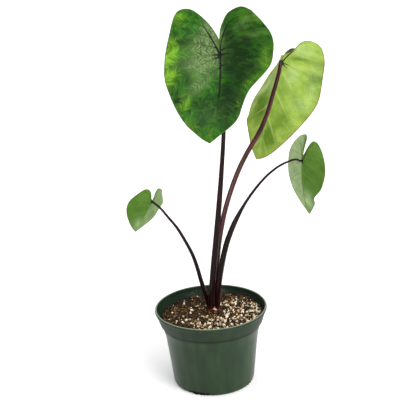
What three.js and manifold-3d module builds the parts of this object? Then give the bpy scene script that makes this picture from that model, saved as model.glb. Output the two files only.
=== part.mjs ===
// A young elephant ear plant (Colocasia) with four leaves, in a green nursery pot.
// Millimetres, Z up. The origin is the middle of the pot's flat foot, and the front is -Y.
import * as THREE from 'three';
import { mergeVertices } from 'three/addons/utils/BufferGeometryUtils.js';
import Module from 'manifold-3d';

const wasm = await Module();
wasm.setup();

// Clear space between two pieces that touch.
const GAP = 0.3;
// Points closer than this are one point.
const WELD = 1e-4;

// Pot: a six inch azalea pot, 152 mm across its lip and 107 mm high.
const POT_SIDES = 48;
const POT_HEIGHT = 107;
const LIP_RADIUS = 76.2;
const FOOT_RADIUS = 52.5;
const FLOOR = 2;
const WALL = 1.5;
// Outer wall under the lip, as [radius, height]: the tapered wall, then the band that flares out.
const FOOT_CORNER = [54.6, 0.8];
const OUTER_WALL = [[55.6, 3], [60, 42], [63.2, 68], [64.4, 74], [66.2, 80], [68.2, 85.6],
  [69.6, 87.4], [71.6, 92.5], [73.4, 98], [74.6, 102]];
const LIP_ROLL = [[75.9, 103.3], [LIP_RADIUS, 105.4], [75.4, POT_HEIGHT], [74, POT_HEIGHT], [73.3, 105.8]];
const SLOT_COUNT = 4;
const SLOT_WIDTH = 30;
const SLOT_HEIGHT = 3.4;
const SLOT_DEPTH = 12;
const FIRST_SLOT_ANGLE = 248;

// Soil: its level is at the middle, and it stands higher at the right and the back. Its surface
// swells by two crossing waves, and it leaves the pot's wall this far below its level.
const SOIL_LEVEL = 94;
const SOIL_SLOPE = { right: 0.05, back: 0.015 };
const SOIL_WAVES = { long: 0.9, longX: 9, longY: 11, short: 0.55, shortXY: 5 };
const SOIL_SKIRT = 8;
const SOIL_RINGS = [0.94, 0.82, 0.68, 0.54, 0.4, 0.26, 0.13, 0];
const GRAIN_COUNT = 190;
const GRAIN_RADIUS = { least: 1.3, most: 3.4 };
const GRAIN_FLATNESS = 0.7;
const GRAIN_SINK = 0.3;
const GRAIN_SEED = 7;

// Corm: the short swollen stem, with its neck just above the soil, as [radius, height].
const CORM_CENTRE = [4.2, 14];
const CORM_SIDES = 24;
const CORM_RADIUS = 10.5;
const CORM_BODY = [[0, 53], [5, 56], [9, 66], [CORM_RADIUS, 80], [10, 92], [9.9, 97]];
const CORM_CROWN = [[8.6, 99.6], [0, 100]];
// The hole for the corm in the soil goes up past the highest grain.
const HOLE_TOP = 110;
const STALK_FOOT = 90;
const STALK_RINGS = 5;

// Leaf stalks: points up the middle of each stalk, radii at even steps from foot to blade, and how far
// the last point stands off the blade.
const STALKS = {
  stalk_front: {
    blade: 'leaf_front',
    sides: 10,
    radii: [3.5, 3.7, 3.3, 2.4, 2.2, 1.9],
    points: [[1.5, 11, STALK_FOOT], [2, 11, 106], [6.5, 13, 160], [14.5, 16, 222], [22.5, 18, 290],
      [28, 17, 343], [29.8, 14, 395], [29.5, 10, 430]],
    reach: 6,
  },
  stalk_right: {
    blade: 'leaf_right',
    sides: 10,
    radii: [3.2, 3.2, 3.1, 3, 2.7, 2.3],
    points: [[7.3, 17.5, STALK_FOOT], [7.8, 17.5, 110], [11, 17.5, 150], [16, 19, 194],
      [26, 22, 236], [42, 27, 280], [55, 31, 306], [76.5, 37, 340], [91.5, 43, 383],
      [100.5, 47, 412], [104.5, 52, 425.5]],
    reach: 4,
  },
  stalk_small_right: {
    blade: 'leaf_small_right',
    sides: 8,
    radii: [3, 3.2, 3.1, 2.3, 1.7, 1.2],
    points: [[8.7, 10.3, STALK_FOOT], [10.2, 10.3, 112], [13.5, 10.5, 138], [23, 11.5, 182],
      [41.5, 13, 227.5], [58.5, 14, 255], [81.5, 15, 279], [98, 16, 292.5], [111, 17, 299],
      [121, 18.5, 301]],
    reach: 5,
  },
  stalk_small_left: {
    blade: 'leaf_small_left',
    sides: 8,
    radii: [2.7, 2.9, 2.6, 2.2, 1.8, 1.4],
    points: [[-0.8, 17.6, STALK_FOOT], [-4, 18, 106], [-10.5, 18, 132.5], [-20, 18, 172], [-30.5, 18, 198.5],
      [-39.5, 18.5, 215.5], [-51, 19, 231], [-61, 20, 243.5]],
    reach: 4,
  },
};

// Blades. Each is drawn flat, then folded up along its midrib. In the flat drawing the stalk's
// junction is at 0, 0; a point is [across from the midrib, along towards the tip], and the lobes
// have negative values along. An outline goes from the sinus between the lobes to the tip.
// Angles are degrees: facing is the upper face's heading from -Y towards +X, tilt is how far it
// looks up, and turn swings the blade in its own plane. Bend and curl are degrees per millimetre.
// Drift carries the tip sideways. The wave grows with the square of the distance from the midrib, and
// its height is that at a blade's length. Laterals are the side veins' places on the lobe's rib
// (-1 to 0) and the midrib (0 to 1), and quilt is how far the blade swells up between them. Strip is
// how far the edge beside the sinus stands up, and lobeShare is the outline's share up to the lobe's rib.
const BLADES = {
  leaf_front: {
    junction: [27.5, 0, 444.5],
    facing: -14,
    tilt: 14,
    turn: 3.6,
    length: 109,
    lobe: 60,
    drift: -19,
    bend: { tip: 0, lobe: -0.2 },
    wave: { height: 6.4, length: 38 },
    laterals: [-0.75, -0.5, -0.25, 0.14, 0.28, 0.42, 0.55, 0.68, 0.8, 0.9],
    quilt: 1,
    ribScale: 1,
    halves: [
      {
        side: -1,
        fold: { lobe: 26, middle: 18, tip: 8 },
        curl: 0.1,
        rib: [[12, -28], [35, -52]],
        lobeShare: 0.225,
        strip: 5,
        outline: [[0, -19], [5, -28], [15, -42], [31, -58], [44, -61], [55, -54], [63, -30], [68, 0],
          [70, 18], [62, 48], [42, 77], [20, 96], [0, 109]],
      },
      {
        side: 1,
        fold: { lobe: 30, middle: 18, tip: 12 },
        curl: 0.05,
        rib: [[5, -28], [33, -49]],
        lobeShare: 0.225,
        strip: 5,
        outline: [[0, -19], [2, -30], [12, -43], [25, -53], [40, -57], [58, -50], [71, -28], [76, 0],
          [67, 22], [44, 41], [36, 56], [32, 70], [19, 90], [0, 109]],
      },
    ],
  },
  leaf_right: {
    junction: [110, 62, 422.5],
    facing: 150,
    tilt: -3,
    turn: 16.3,
    length: 139,
    lobe: 28,
    drift: 0,
    bend: { tip: 0, lobe: -1 },
    wave: { height: 4.8, length: 44 },
    laterals: [-0.66, -0.33, 0.15, 0.3, 0.44, 0.58, 0.72, 0.86],
    quilt: 1.1,
    ribScale: 1,
    halves: [
      {
        side: -1,
        fold: { lobe: 24, middle: 34, tip: 12 },
        curl: 0.02,
        rib: [[9, -22], [27, -42]],
        lobeShare: 0.2,
        strip: 2,
        outline: [[0, -12], [8, -21], [15, -38], [24, -48], [36, -49], [47, -35], [55, -12], [60, 20],
          [52, 62], [36, 95], [18, 122], [0, 139]],
      },
      {
        side: 1,
        fold: { lobe: 104, middle: 62, tip: 8 },
        curl: 0.02,
        rib: [[8, -18], [20, -22]],
        lobeShare: 0.16,
        strip: 0,
        outline: [[0, -12], [5, -18], [9, -25], [17, -31], [27, -28], [33, -12], [42, 8], [51, 32],
          [50, 56], [38, 86], [20, 115], [0, 139]],
      },
    ],
  },
  leaf_small_right: {
    junction: [131, 25, 298],
    facing: 146,
    tilt: 0,
    turn: 5.9,
    length: 75,
    lobe: 32,
    drift: -14.3,
    bend: { tip: -0.1, lobe: -0.8 },
    wave: { height: 2.4, length: 30 },
    laterals: [-0.5, 0.25, 0.5, 0.75],
    quilt: 0.5,
    ribScale: 0.5,
    halves: [
      {
        side: -1,
        fold: { lobe: 38, middle: 22, tip: 10 },
        curl: 0.2,
        rib: [[5, -15], [12.5, -21]],
        lobeShare: 0.205,
        strip: 1.5,
        outline: [[0, -8], [4, -17], [11, -29], [17, -26], [26, -10], [30, 6], [30, 20], [24, 38],
          [13, 51], [12, 59], [6, 68], [0, 75]],
      },
      {
        side: 1,
        fold: { lobe: 18, middle: 16, tip: 8 },
        curl: -0.1,
        rib: [[4, -15], [9, -28]],
        lobeShare: 0.2,
        strip: 0,
        outline: [[0, -8], [0.5, -18], [1, -29], [5, -34], [12, -30], [20, -20], [25, -4], [25, 14],
          [23, 31], [17, 47], [8, 63], [0, 75]],
      },
    ],
  },
  leaf_small_left: {
    junction: [-71.5, 25, 251.5],
    facing: 212,
    tilt: 10,
    turn: 30.4,
    length: 48,
    lobe: 17,
    drift: -2.4,
    bend: { tip: -0.2, lobe: -0.7 },
    wave: { height: 1.6, length: 24 },
    laterals: [-0.5, 0.25, 0.5, 0.75],
    quilt: 0.4,
    ribScale: 0.5,
    halves: [
      {
        side: -1,
        fold: { lobe: 26, middle: 20, tip: 16 },
        curl: 0.15,
        rib: [[4, -8], [8, -15]],
        lobeShare: 0.2,
        strip: 0.5,
        outline: [[0, -4], [0.5, -9], [1.5, -16], [5, -20], [10, -21], [18, -17], [25, -7], [27, 5],
          [25, 15], [17, 29], [6, 41], [0, 48]],
      },
      {
        side: 1,
        fold: { lobe: 15, middle: 20, tip: 9 },
        curl: 0.25,
        rib: [[4, -6], [11, -11]],
        lobeShare: 0.2,
        strip: 0.5,
        outline: [[0, -4], [3, -9], [8, -13], [14, -13], [19, -8], [24, 3], [28, 13], [27, 24],
          [20, 35], [9, 44], [0, 48]],
      },
    ],
  },
};
const BLADE_THICKNESS = 0.8;
// Where the line across from the junction meets the margin, as a share of the outline.
const JUNCTION_SHARE = 0.5;
// Across a blade: half a rib's width, the largest share of a row that it takes, and the steps outside it.
const RIB_WIDTH = 2.6;
const RIB_SHARE = 0.3;
const STEPS_ACROSS = 5;
// The blade swells fully between its side veins where a row is at least this long.
const FULL_SPAN = 45;
// How far ribs stand out of the underside.
const MIDRIB_HEIGHT = 1.5;
const LOBE_RIB_HEIGHT = 1.1;
const LATERAL_HEIGHT = 0.45;
const MIDRIB_TAPER = 0.8;
const LOBE_RIB_TAPER = 0.7;
// How far the side veins bow, as a share of their length.
const VEIN_BOW = 0.08;

const FINISHES = {
  pot: { color: 0x3d5a45, roughness: 0.5, metalness: 0 },
  soil: { color: 0x4a3624, roughness: 0.95, metalness: 0 },
  corm: { color: 0xcaa08c, roughness: 0.6, metalness: 0 },
  stalk_front: { color: 0x2a1519, roughness: 0.4, metalness: 0 },
  stalk_right: { color: 0x4a2428, roughness: 0.4, metalness: 0 },
  stalk_small_right: { color: 0x33191d, roughness: 0.4, metalness: 0 },
  stalk_small_left: { color: 0x33191d, roughness: 0.4, metalness: 0 },
  leaf_front: { color: 0x3f7a2c, roughness: 0.45, metalness: 0 },
  leaf_right: { color: 0x9cbb55, roughness: 0.5, metalness: 0 },
  leaf_small_right: { color: 0x5f8f45, roughness: 0.5, metalness: 0 },
  leaf_small_left: { color: 0x5c8a44, roughness: 0.5, metalness: 0 },
};

const radians = THREE.MathUtils.degToRad;
const lerp = THREE.MathUtils.lerp;
const smooth = (share) => THREE.MathUtils.smoothstep(share, 0, 1);
const point = (values) => new THREE.Vector3(...values);
// 0 at both ends and 1 in the middle.
const bulge = (share) => 4 * share * (1 - share);

// Repeatable random numbers from 0 to 1.
function seededRandom(seed) {
  let state = seed;
  return () => {
    state = (state * 1664525 + 1013904223) % 4294967296;
    return state / 4294967296;
  };
}

// Solids

function toSolid(geometry) {
  const plain = geometry.clone();
  plain.deleteAttribute('normal');
  plain.deleteAttribute('uv');
  const welded = mergeVertices(plain, WELD);
  const corners = welded.index.array;
  const kept = [];
  for (let i = 0; i < corners.length; i += 3) {
    const [a, b, c] = corners.slice(i, i + 3);
    if (a !== b && b !== c && c !== a) {
      kept.push(a, b, c);
    }
  }
  const mesh = new wasm.Mesh({
    numProp: 3,
    vertProperties: Float32Array.from(welded.attributes.position.array),
    triVerts: Uint32Array.from(kept),
  });
  return new wasm.Manifold(mesh);
}

function toGeometry(solid) {
  const mesh = solid.getMesh();
  const geometry = new THREE.BufferGeometry();
  geometry.setAttribute('position', new THREE.BufferAttribute(Float32Array.from(mesh.vertProperties), 3));
  geometry.setIndex(new THREE.BufferAttribute(Uint32Array.from(mesh.triVerts), 1));
  return geometry;
}

function largestPiece(solid) {
  return solid.decompose().reduce((best, piece) => (piece.volume() > best.volume() ? piece : best));
}

function meshOf(points, triangles) {
  const geometry = new THREE.BufferGeometry();
  const numbers = points.flatMap((p) => p.toArray());
  geometry.setAttribute('position', new THREE.Float32BufferAttribute(numbers, 3));
  geometry.setIndex(triangles.flat());
  return geometry;
}

// A turned solid about Z, from a profile of [radius, height] that starts and ends on the axis.
function turned(profile, sides) {
  const lathe = new THREE.LatheGeometry(profile.map(([r, z]) => new THREE.Vector2(r, z)), sides);
  return lathe.rotateX(Math.PI / 2);
}

// Pot and soil

function innerWall() {
  return OUTER_WALL.map(([r, z]) => [r - WALL, z]);
}

function innerRadius(height) {
  const wall = innerWall();
  const above = wall.findIndex(([, z]) => z >= height);
  const [lowRadius, low] = wall[above - 1];
  const [highRadius, high] = wall[above];
  return lerp(lowRadius, highRadius, (height - low) / (high - low));
}

function potSolid() {
  const outside = [[0, 0], [FOOT_RADIUS, 0], FOOT_CORNER, ...OUTER_WALL, ...LIP_ROLL];
  const inside = [...innerWall().reverse(), [FOOT_RADIUS - WALL, FLOOR], [0, FLOOR]];
  let pot = toSolid(turned([...outside, ...inside], POT_SIDES));
  for (let i = 0; i < SLOT_COUNT; i += 1) {
    const angle = radians(FIRST_SLOT_ANGLE + (i * 360) / SLOT_COUNT);
    const slot = new THREE.BoxGeometry(SLOT_DEPTH, SLOT_WIDTH, 2 * SLOT_HEIGHT);
    slot.translate(OUTER_WALL[0][0], 0, 0);
    slot.rotateZ(angle);
    pot = pot.subtract(toSolid(slot));
  }
  return pot;
}

function soilHeight(x, y) {
  const { long, longX, longY, short, shortXY } = SOIL_WAVES;
  const swell = long * Math.sin(x / longX) * Math.cos(y / longY) + short * Math.sin((x + y) / shortXY);
  return SOIL_LEVEL + SOIL_SLOPE.right * x + SOIL_SLOPE.back * y + swell;
}

// The bare bed of soil: a grid around the axis, up the pot's wall and over the top.
function soilBed() {
  const wall = innerWall().filter(([, z]) => z < SOIL_LEVEL - SOIL_SKIRT);
  const rings = [[FOOT_RADIUS - WALL - GAP, FLOOR + GAP], ...wall.map(([r, z]) => [r - GAP, z])];
  const points = [];
  const triangles = [];
  const ringStart = [];
  const addRing = (place) => {
    ringStart.push(points.length);
    for (let i = 0; i < POT_SIDES; i += 1) {
      points.push(place((i * 2 * Math.PI) / POT_SIDES));
    }
  };
  for (const [radius, height] of rings) {
    addRing((angle) => new THREE.Vector3(radius * Math.cos(angle), radius * Math.sin(angle), height));
  }
  const atWall = innerRadius(SOIL_LEVEL) - GAP;
  addRing((angle) => {
    const height = soilHeight(atWall * Math.cos(angle), atWall * Math.sin(angle));
    const radius = innerRadius(height) - GAP;
    return new THREE.Vector3(radius * Math.cos(angle), radius * Math.sin(angle), height);
  });
  for (const share of SOIL_RINGS.slice(0, -1)) {
    addRing((angle) => {
      const x = share * atWall * Math.cos(angle);
      const y = share * atWall * Math.sin(angle);
      return new THREE.Vector3(x, y, soilHeight(x, y));
    });
  }
  const foot = points.push(new THREE.Vector3(0, 0, FLOOR + GAP)) - 1;
  const crown = points.push(new THREE.Vector3(0, 0, soilHeight(0, 0))) - 1;
  for (let i = 0; i < POT_SIDES; i += 1) {
    const next = (i + 1) % POT_SIDES;
    triangles.push([foot, next, i]);
    for (let ring = 0; ring < ringStart.length - 1; ring += 1) {
      const low = ringStart[ring];
      const high = ringStart[ring + 1];
      triangles.push([low + i, low + next, high + next], [low + i, high + next, high + i]);
    }
    const last = ringStart[ringStart.length - 1];
    triangles.push([last + i, last + next, crown]);
  }
  return toSolid(meshOf(points, triangles));
}

// One grain of perlite or bark, sunk into the bed.
function grain(random, x, y) {
  const radius = lerp(GRAIN_RADIUS.least, GRAIN_RADIUS.most, random() ** 2);
  const stone = new THREE.OctahedronGeometry(radius);
  stone.scale(1, lerp(GRAIN_FLATNESS, 1, random()), lerp(GRAIN_FLATNESS, 1, random()));
  stone.rotateX(random() * Math.PI);
  stone.rotateZ(random() * Math.PI);
  stone.translate(x, y, soilHeight(x, y) - GRAIN_SINK * radius);
  return toSolid(stone);
}

function soilSolid() {
  const random = seededRandom(GRAIN_SEED);
  const clearOfWall = innerRadius(SOIL_LEVEL) - 2 * GRAIN_RADIUS.most;
  let soil = soilBed();
  for (let placed = 0; placed < GRAIN_COUNT; ) {
    const angle = random() * 2 * Math.PI;
    const radius = clearOfWall * Math.sqrt(random());
    const x = radius * Math.cos(angle);
    const y = radius * Math.sin(angle);
    if (Math.hypot(x - CORM_CENTRE[0], y - CORM_CENTRE[1]) > CORM_RADIUS + 2 * GRAIN_RADIUS.most) {
      soil = soil.add(grain(random, x, y));
      placed += 1;
    }
  }
  return largestPiece(soil.subtract(cormHole()));
}

// Corm, with a plain hole for each stalk

function cormShape(profile) {
  const geometry = turned(profile, CORM_SIDES);
  geometry.translate(CORM_CENTRE[0], CORM_CENTRE[1], 0);
  return toSolid(geometry);
}

// The hole in the soil: the corm's body with a gap all round, open at the top.
function cormHole() {
  const [[, bottom], ...body] = CORM_BODY;
  const wall = body.map(([r, z]) => [r + GAP, z]);
  const [mouth] = wall[wall.length - 1];
  return cormShape([[0, bottom - GAP], ...wall, [mouth, HOLE_TOP], [0, HOLE_TOP]]);
}

// Leaf stalks

function stalkTube(stalk, grow) {
  const blade = BLADES[stalk.blade];
  const { up } = bladeAxes(blade);
  const junction = point(blade.junction);
  const route = stalk.points.map(point);
  route[0].z -= grow;
  route.push(junction.clone().addScaledVector(up, -stalk.reach), junction.clone().addScaledVector(up, -GAP));
  const curve = new THREE.CatmullRomCurve3(route);
  const steps = STALK_RINGS * stalk.points.length;
  const frames = curve.computeFrenetFrames(steps);
  const points = [];
  const triangles = [];
  for (let i = 0; i <= steps; i += 1) {
    const place = ((stalk.radii.length - 1) * i) / steps;
    const low = Math.min(Math.floor(place), stalk.radii.length - 2);
    const radius = lerp(stalk.radii[low], stalk.radii[low + 1], place - low) + grow;
    const centre = curve.getPointAt(i / steps);
    for (let side = 0; side < stalk.sides; side += 1) {
      const angle = (side * 2 * Math.PI) / stalk.sides;
      const out = frames.normals[i].clone().multiplyScalar(Math.cos(angle));
      out.addScaledVector(frames.binormals[i], Math.sin(angle));
      points.push(centre.clone().addScaledVector(out, radius));
    }
  }
  const foot = points.push(curve.getPointAt(0)) - 1;
  const end = points.push(curve.getPointAt(1)) - 1;
  const lastRing = steps * stalk.sides;
  for (let side = 0; side < stalk.sides; side += 1) {
    const next = (side + 1) % stalk.sides;
    triangles.push([foot, next, side], [end, lastRing + side, lastRing + next]);
    for (let i = 0; i < steps; i += 1) {
      const low = i * stalk.sides;
      const high = low + stalk.sides;
      triangles.push([low + side, low + next, high + next], [low + side, high + next, high + side]);
    }
  }
  return toSolid(meshOf(points, triangles));
}

// Blades

function bladeAxes(blade) {
  const heading = radians(blade.facing);
  const tilt = radians(blade.tilt);
  const turn = radians(blade.turn);
  const up = new THREE.Vector3(
    Math.cos(tilt) * Math.sin(heading),
    -Math.cos(tilt) * Math.cos(heading),
    Math.sin(tilt),
  );
  const hang = new THREE.Vector3(0, 0, -1);
  hang.addScaledVector(up, -hang.dot(up)).normalize();
  const level = up.clone().cross(hang);
  const along = hang.multiplyScalar(Math.cos(turn)).addScaledVector(level, Math.sin(turn));
  return { up, along, across: up.clone().cross(along) };
}

// How far a line that starts at an angle and turns at a steady rate goes forward and up.
function arc(angle, rate, length) {
  if (rate === 0 || length === 0) {
    return [length * Math.cos(angle), length * Math.sin(angle)];
  }
  const end = angle + rate * length;
  return [(Math.sin(end) - Math.sin(angle)) / rate, (Math.cos(angle) - Math.cos(end)) / rate];
}

// From the flat drawing to the place in space, lifted by a height above the blade.
function onBlade(blade, half, across, along, lift) {
  const { up, along: forward, across: sideways } = bladeAxes(blade);
  const { fold, side } = half;
  const towardsTip = lerp(fold.middle, fold.tip, smooth(along / blade.length));
  const towardsLobe = lerp(fold.middle, fold.lobe, smooth(-along / blade.lobe));
  const slope = radians(along > 0 ? towardsTip : towardsLobe);
  const curl = radians(half.curl);
  const [out, rise] = arc(slope, curl, across);
  const normalTurn = slope + curl * across;
  const height = rise + lift * Math.cos(normalTurn);
  const bend = radians(along > 0 ? blade.bend.tip : blade.bend.lobe);
  const [advance, sag] = arc(0, bend, along);
  const drift = along > 0 ? blade.drift * (along / blade.length) ** 2 : 0;
  return point(blade.junction)
    .addScaledVector(sideways, side * (out - lift * Math.sin(normalTurn)) + drift)
    .addScaledVector(forward, advance + height * Math.sin(bend * along))
    .addScaledVector(up, -sag + height * Math.cos(bend * along));
}

// The rib line of a half: lobe rib from -1 to 0, then midrib from 0 at the junction to 1 at the tip.
function ribPoint(blade, half, place) {
  if (place >= 0) {
    return new THREE.Vector2(0, place * blade.length);
  }
  const [bow, end] = half.rib.map(([x, y]) => new THREE.Vector2(x, y));
  const share = -place;
  return bow.multiplyScalar(2 * share * (1 - share)).addScaledVector(end, share * share);
}

function marginShare(half, place, strip) {
  if (strip) {
    return -place * half.lobeShare;
  }
  const reach = place < 0 ? JUNCTION_SHARE - half.lobeShare : 1 - JUNCTION_SHARE;
  return JUNCTION_SHARE + reach * place;
}

// Rows across part of a blade: one along each side vein and one between each two.
function rowPlaces(blade, first, last) {
  const veins = blade.laterals.filter((place) => place > first && place < last);
  const lines = [first, ...veins, last];
  return lines.flatMap((place, i) => {
    const row = { place, vein: Math.abs(place) < 1, between: false };
    if (i === lines.length - 1) {
      return [row];
    }
    return [row, { place: (place + lines[i + 1]) / 2, vein: false, between: true }];
  });
}

// How far the rib under a place stands out of the underside.
function ribHeight(place) {
  if (place < 0) {
    return LOBE_RIB_HEIGHT * (1 + LOBE_RIB_TAPER * place);
  }
  return MIDRIB_HEIGHT * (1 - MIDRIB_TAPER * place);
}

// Shares of a row from the rib (0) to the margin (1), the first step being the rib's own width.
function sharesAcross(span, ribScale) {
  const rib = Math.min((RIB_WIDTH * ribScale) / span, RIB_SHARE);
  const outer = Array.from({ length: STEPS_ACROSS + 1 }, (_, i) => lerp(rib, 1, i / STEPS_ACROSS));
  return [0, ...outer];
}

function addPatch(sheet, blade, half, outline, strip) {
  const lobeRows = rowPlaces(blade, -1, 0);
  const rows = strip ? lobeRows : [...lobeRows, ...rowPlaces(blade, 0, 1).slice(1)];
  const { wave } = blade;
  const grid = rows.map(({ place, vein, between }) => {
    const start = ribPoint(blade, half, place);
    const end = outline.getPointAt(Math.abs(marginShare(half, place, strip)));
    const span = start.distanceTo(end);
    return sharesAcross(span, blade.ribScale).map((share) => {
      const flat = start.clone().lerp(end, share);
      if (!strip) {
        flat.y += VEIN_BOW * span * Math.sin(Math.PI * place) * bulge(share);
      }
      const reach = flat.x / blade.length;
      const ripple = Math.sin((2 * Math.PI * flat.y) / wave.length + half.side);
      let lift = wave.height * reach * reach * ripple;
      if (strip) {
        lift += half.strip * share * Math.sin(-Math.PI * place);
      } else if (between) {
        lift += blade.quilt * Math.min(span / FULL_SPAN, 1) * Math.sin(Math.PI * share);
      }
      let rib = vein ? LATERAL_HEIGHT * (1 - share) : 0;
      if (share === 0) {
        rib = ribHeight(place);
      }
      return sheet.add(onBlade(blade, half, flat.x, flat.y, lift), rib * blade.ribScale);
    });
  });
  const flip = half.side < 0 !== strip;
  for (let i = 0; i < grid.length - 1; i += 1) {
    for (let j = 0; j <= STEPS_ACROSS; j += 1) {
      const [a, b, c, d] = [grid[i][j], grid[i + 1][j], grid[i + 1][j + 1], grid[i][j + 1]];
      sheet.face(a, b, c, flip);
      sheet.face(a, c, d, flip);
    }
  }
}

// The middle surface of a blade: points with a rib height each, welded where patches meet.
function newSheet() {
  const sheet = { points: [], ribs: [], faces: [], known: new Map() };
  sheet.add = (place, rib) => {
    const key = place.toArray().map((value) => value.toFixed(3)).join(' ');
    if (!sheet.known.has(key)) {
      sheet.known.set(key, sheet.points.push(place) - 1);
      sheet.ribs.push(rib);
    }
    return sheet.known.get(key);
  };
  sheet.face = (a, b, c, flip) => {
    if (a !== b && b !== c && c !== a) {
      sheet.faces.push(flip ? [a, c, b] : [a, b, c]);
    }
  };
  return sheet;
}

function sheetNormals(sheet) {
  const normals = sheet.points.map(() => new THREE.Vector3());
  for (const [a, b, c] of sheet.faces) {
    const edge = sheet.points[b].clone().sub(sheet.points[a]);
    const area = edge.cross(sheet.points[c].clone().sub(sheet.points[a]));
    [a, b, c].forEach((corner) => normals[corner].add(area));
  }
  return normals.map((normal) => normal.normalize());
}

// Both faces of a blade and the edge between them, with the ribs standing out of the underside.
function thicken(sheet, grow) {
  const normals = sheetNormals(sheet);
  const count = sheet.points.length;
  const upper = sheet.points.map((p, i) => p.clone().addScaledVector(normals[i], BLADE_THICKNESS / 2 + grow));
  const lower = sheet.points.map((p, i) => {
    return p.clone().addScaledVector(normals[i], -BLADE_THICKNESS / 2 - sheet.ribs[i] - grow);
  });
  const triangles = [];
  const edges = new Map();
  for (const [a, b, c] of sheet.faces) {
    triangles.push([a, b, c], [a + count, c + count, b + count]);
    for (const [from, to] of [[a, b], [b, c], [c, a]]) {
      if (!edges.delete(`${to} ${from}`)) {
        edges.set(`${from} ${to}`, [from, to]);
      }
    }
  }
  for (const [from, to] of edges.values()) {
    triangles.push([from, from + count, to + count], [from, to + count, to]);
  }
  return toSolid(meshOf([...upper, ...lower], triangles));
}

function bladeSolid(blade, grow) {
  const sheet = newSheet();
  for (const half of blade.halves) {
    const outline = new THREE.SplineCurve(half.outline.map(([x, y]) => new THREE.Vector2(x, y)));
    addPatch(sheet, blade, half, outline, false);
    addPatch(sheet, blade, half, outline, true);
  }
  return thicken(sheet, grow);
}

// The plant in its pot

const plant = new THREE.Group();

function addPart(name, solid) {
  const part = new THREE.Mesh(toGeometry(solid), new THREE.MeshStandardMaterial(FINISHES[name]));
  part.name = name;
  plant.add(part);
}

addPart('pot', potSolid());
addPart('soil', soilSolid());

let corm = cormShape([...CORM_BODY, ...CORM_CROWN]);
for (const [name, stalk] of Object.entries(STALKS)) {
  corm = corm.subtract(stalkTube(stalk, GAP));
  addPart(name, largestPiece(stalkTube(stalk, 0).subtract(bladeSolid(BLADES[stalk.blade], GAP))));
}
addPart('corm', largestPiece(corm));

for (const [name, blade] of Object.entries(BLADES)) {
  addPart(name, bladeSolid(blade, 0));
}

export default plant;
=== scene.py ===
"""A young dark-ribbed elephant ear, four leaves in a green nursery pot, on a white table.

Points and sizes are in millimetres in the functions, and become metres when a mesh is made.
"""

import math

import bmesh
import bpy
import numpy as np
from mathutils import Matrix


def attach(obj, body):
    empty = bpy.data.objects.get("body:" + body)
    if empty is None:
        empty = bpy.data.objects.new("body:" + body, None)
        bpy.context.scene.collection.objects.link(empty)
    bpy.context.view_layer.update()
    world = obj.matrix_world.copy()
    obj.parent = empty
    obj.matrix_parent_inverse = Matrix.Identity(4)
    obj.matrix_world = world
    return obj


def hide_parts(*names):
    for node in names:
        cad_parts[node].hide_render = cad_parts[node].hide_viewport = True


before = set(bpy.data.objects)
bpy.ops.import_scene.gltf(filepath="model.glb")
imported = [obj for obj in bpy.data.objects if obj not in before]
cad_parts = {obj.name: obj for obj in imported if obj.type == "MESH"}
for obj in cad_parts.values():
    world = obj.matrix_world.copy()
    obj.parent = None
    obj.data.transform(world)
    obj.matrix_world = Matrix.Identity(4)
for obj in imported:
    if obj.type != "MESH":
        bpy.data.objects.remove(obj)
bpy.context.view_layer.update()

MM = 0.001
TURN = 2 * math.pi

# Pot: [radius, height] up the outside, as moulded.
POT_FOOT = 52.5
POT_FLOOR = 2
POT_WALL = 1.5
FOOT_CORNER = [54.6, 0.8]
OUTER_WALL = [[55.6, 3], [56, 6.5], [56.5, 11], [60, 42], [63.2, 68], [64.4, 74], [66.2, 80], [67.9, 85.4],
              [69.8, 86.8], [71.6, 92.5], [73.4, 98], [74.6, 102]]
LIP_ROLL = [[75.9, 103.3], [76.2, 105.4], [75.4, 107], [74, 107], [73.3, 105.8]]
POT_SIDES = 192
# The groove under the band, and how wide the shade painted in it lies.
GROOVE_HEIGHT = 85.8
GROOVE_WIDTH = 1.6
# The band starts here and is painted a little darker than the wall.
BAND_HEIGHT = 87
# Edges are sharp from this angle in degrees.
SHARP_ANGLE = 40
# A highlight is painted along the top of the lip from here up.
LIP_HIGHLIGHT_HEIGHT = 106.2
# Drain slots round the foot. The first one's place is in degrees.
SLOTS = {"count": 4, "width": 30, "height": 4.6, "depth": 12, "first": 248}

# Soil: its level at the middle, and its slope up to the right and the back.
SOIL_LEVEL = 94
SOIL_SLOPE = (0.05, 0.015)
SOIL_GAP = 0.3
SOIL_SIDES = 240
SOIL_RINGS = 96
# How far peat has washed out into the drain slots, how thick it lies, and how far it sank.
WASHED_OUT = 3.4
WASHED_THICK = 1.6
WASHED_DOWN = 1.9
# How high the soil is heaped round the corm.
HEAP_HEIGHT = 2.6
# Loose grains: how flat they are, how deep they sink, and how much more often they are small. None
# lies nearer than this to the corm's middle or to the pot's wall.
GRAIN_FLATNESS = 0.6
GRAIN_SUNK = 0.3
GRAIN_SMALL = 2.4
CORM_CLEAR = 11
WALL_CLEAR = 3

# Corm: the short swollen stem under the stalks.
CORM_CENTRE = (4.2, 14)
CORM_PROFILE = [[0, 53], [5, 56], [9, 66], [10.5, 80], [10.3, 92], [9.7, 96], [7.8, 98.8], [4, 100],
                [0, 100.2]]
CORM_SIDES = 64
# The corm's bare flesh shows at the front, this far round in radians.
BARE_AT = -1.35

# Stalks: radii are spread evenly from foot to blade, and reach is how far a stalk runs straight into
# its blade.
STALK_FOOT = 90
STALK_RINGS = 150
STALK_SIDES = 36
# The side of a stalk that its sheath's edge is on, and the share of the stalk that the sheath covers.
SHEATH_SIDE = np.array([1.0, -0.25, 0])
SHEATH_SHARE = 0.42
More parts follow.
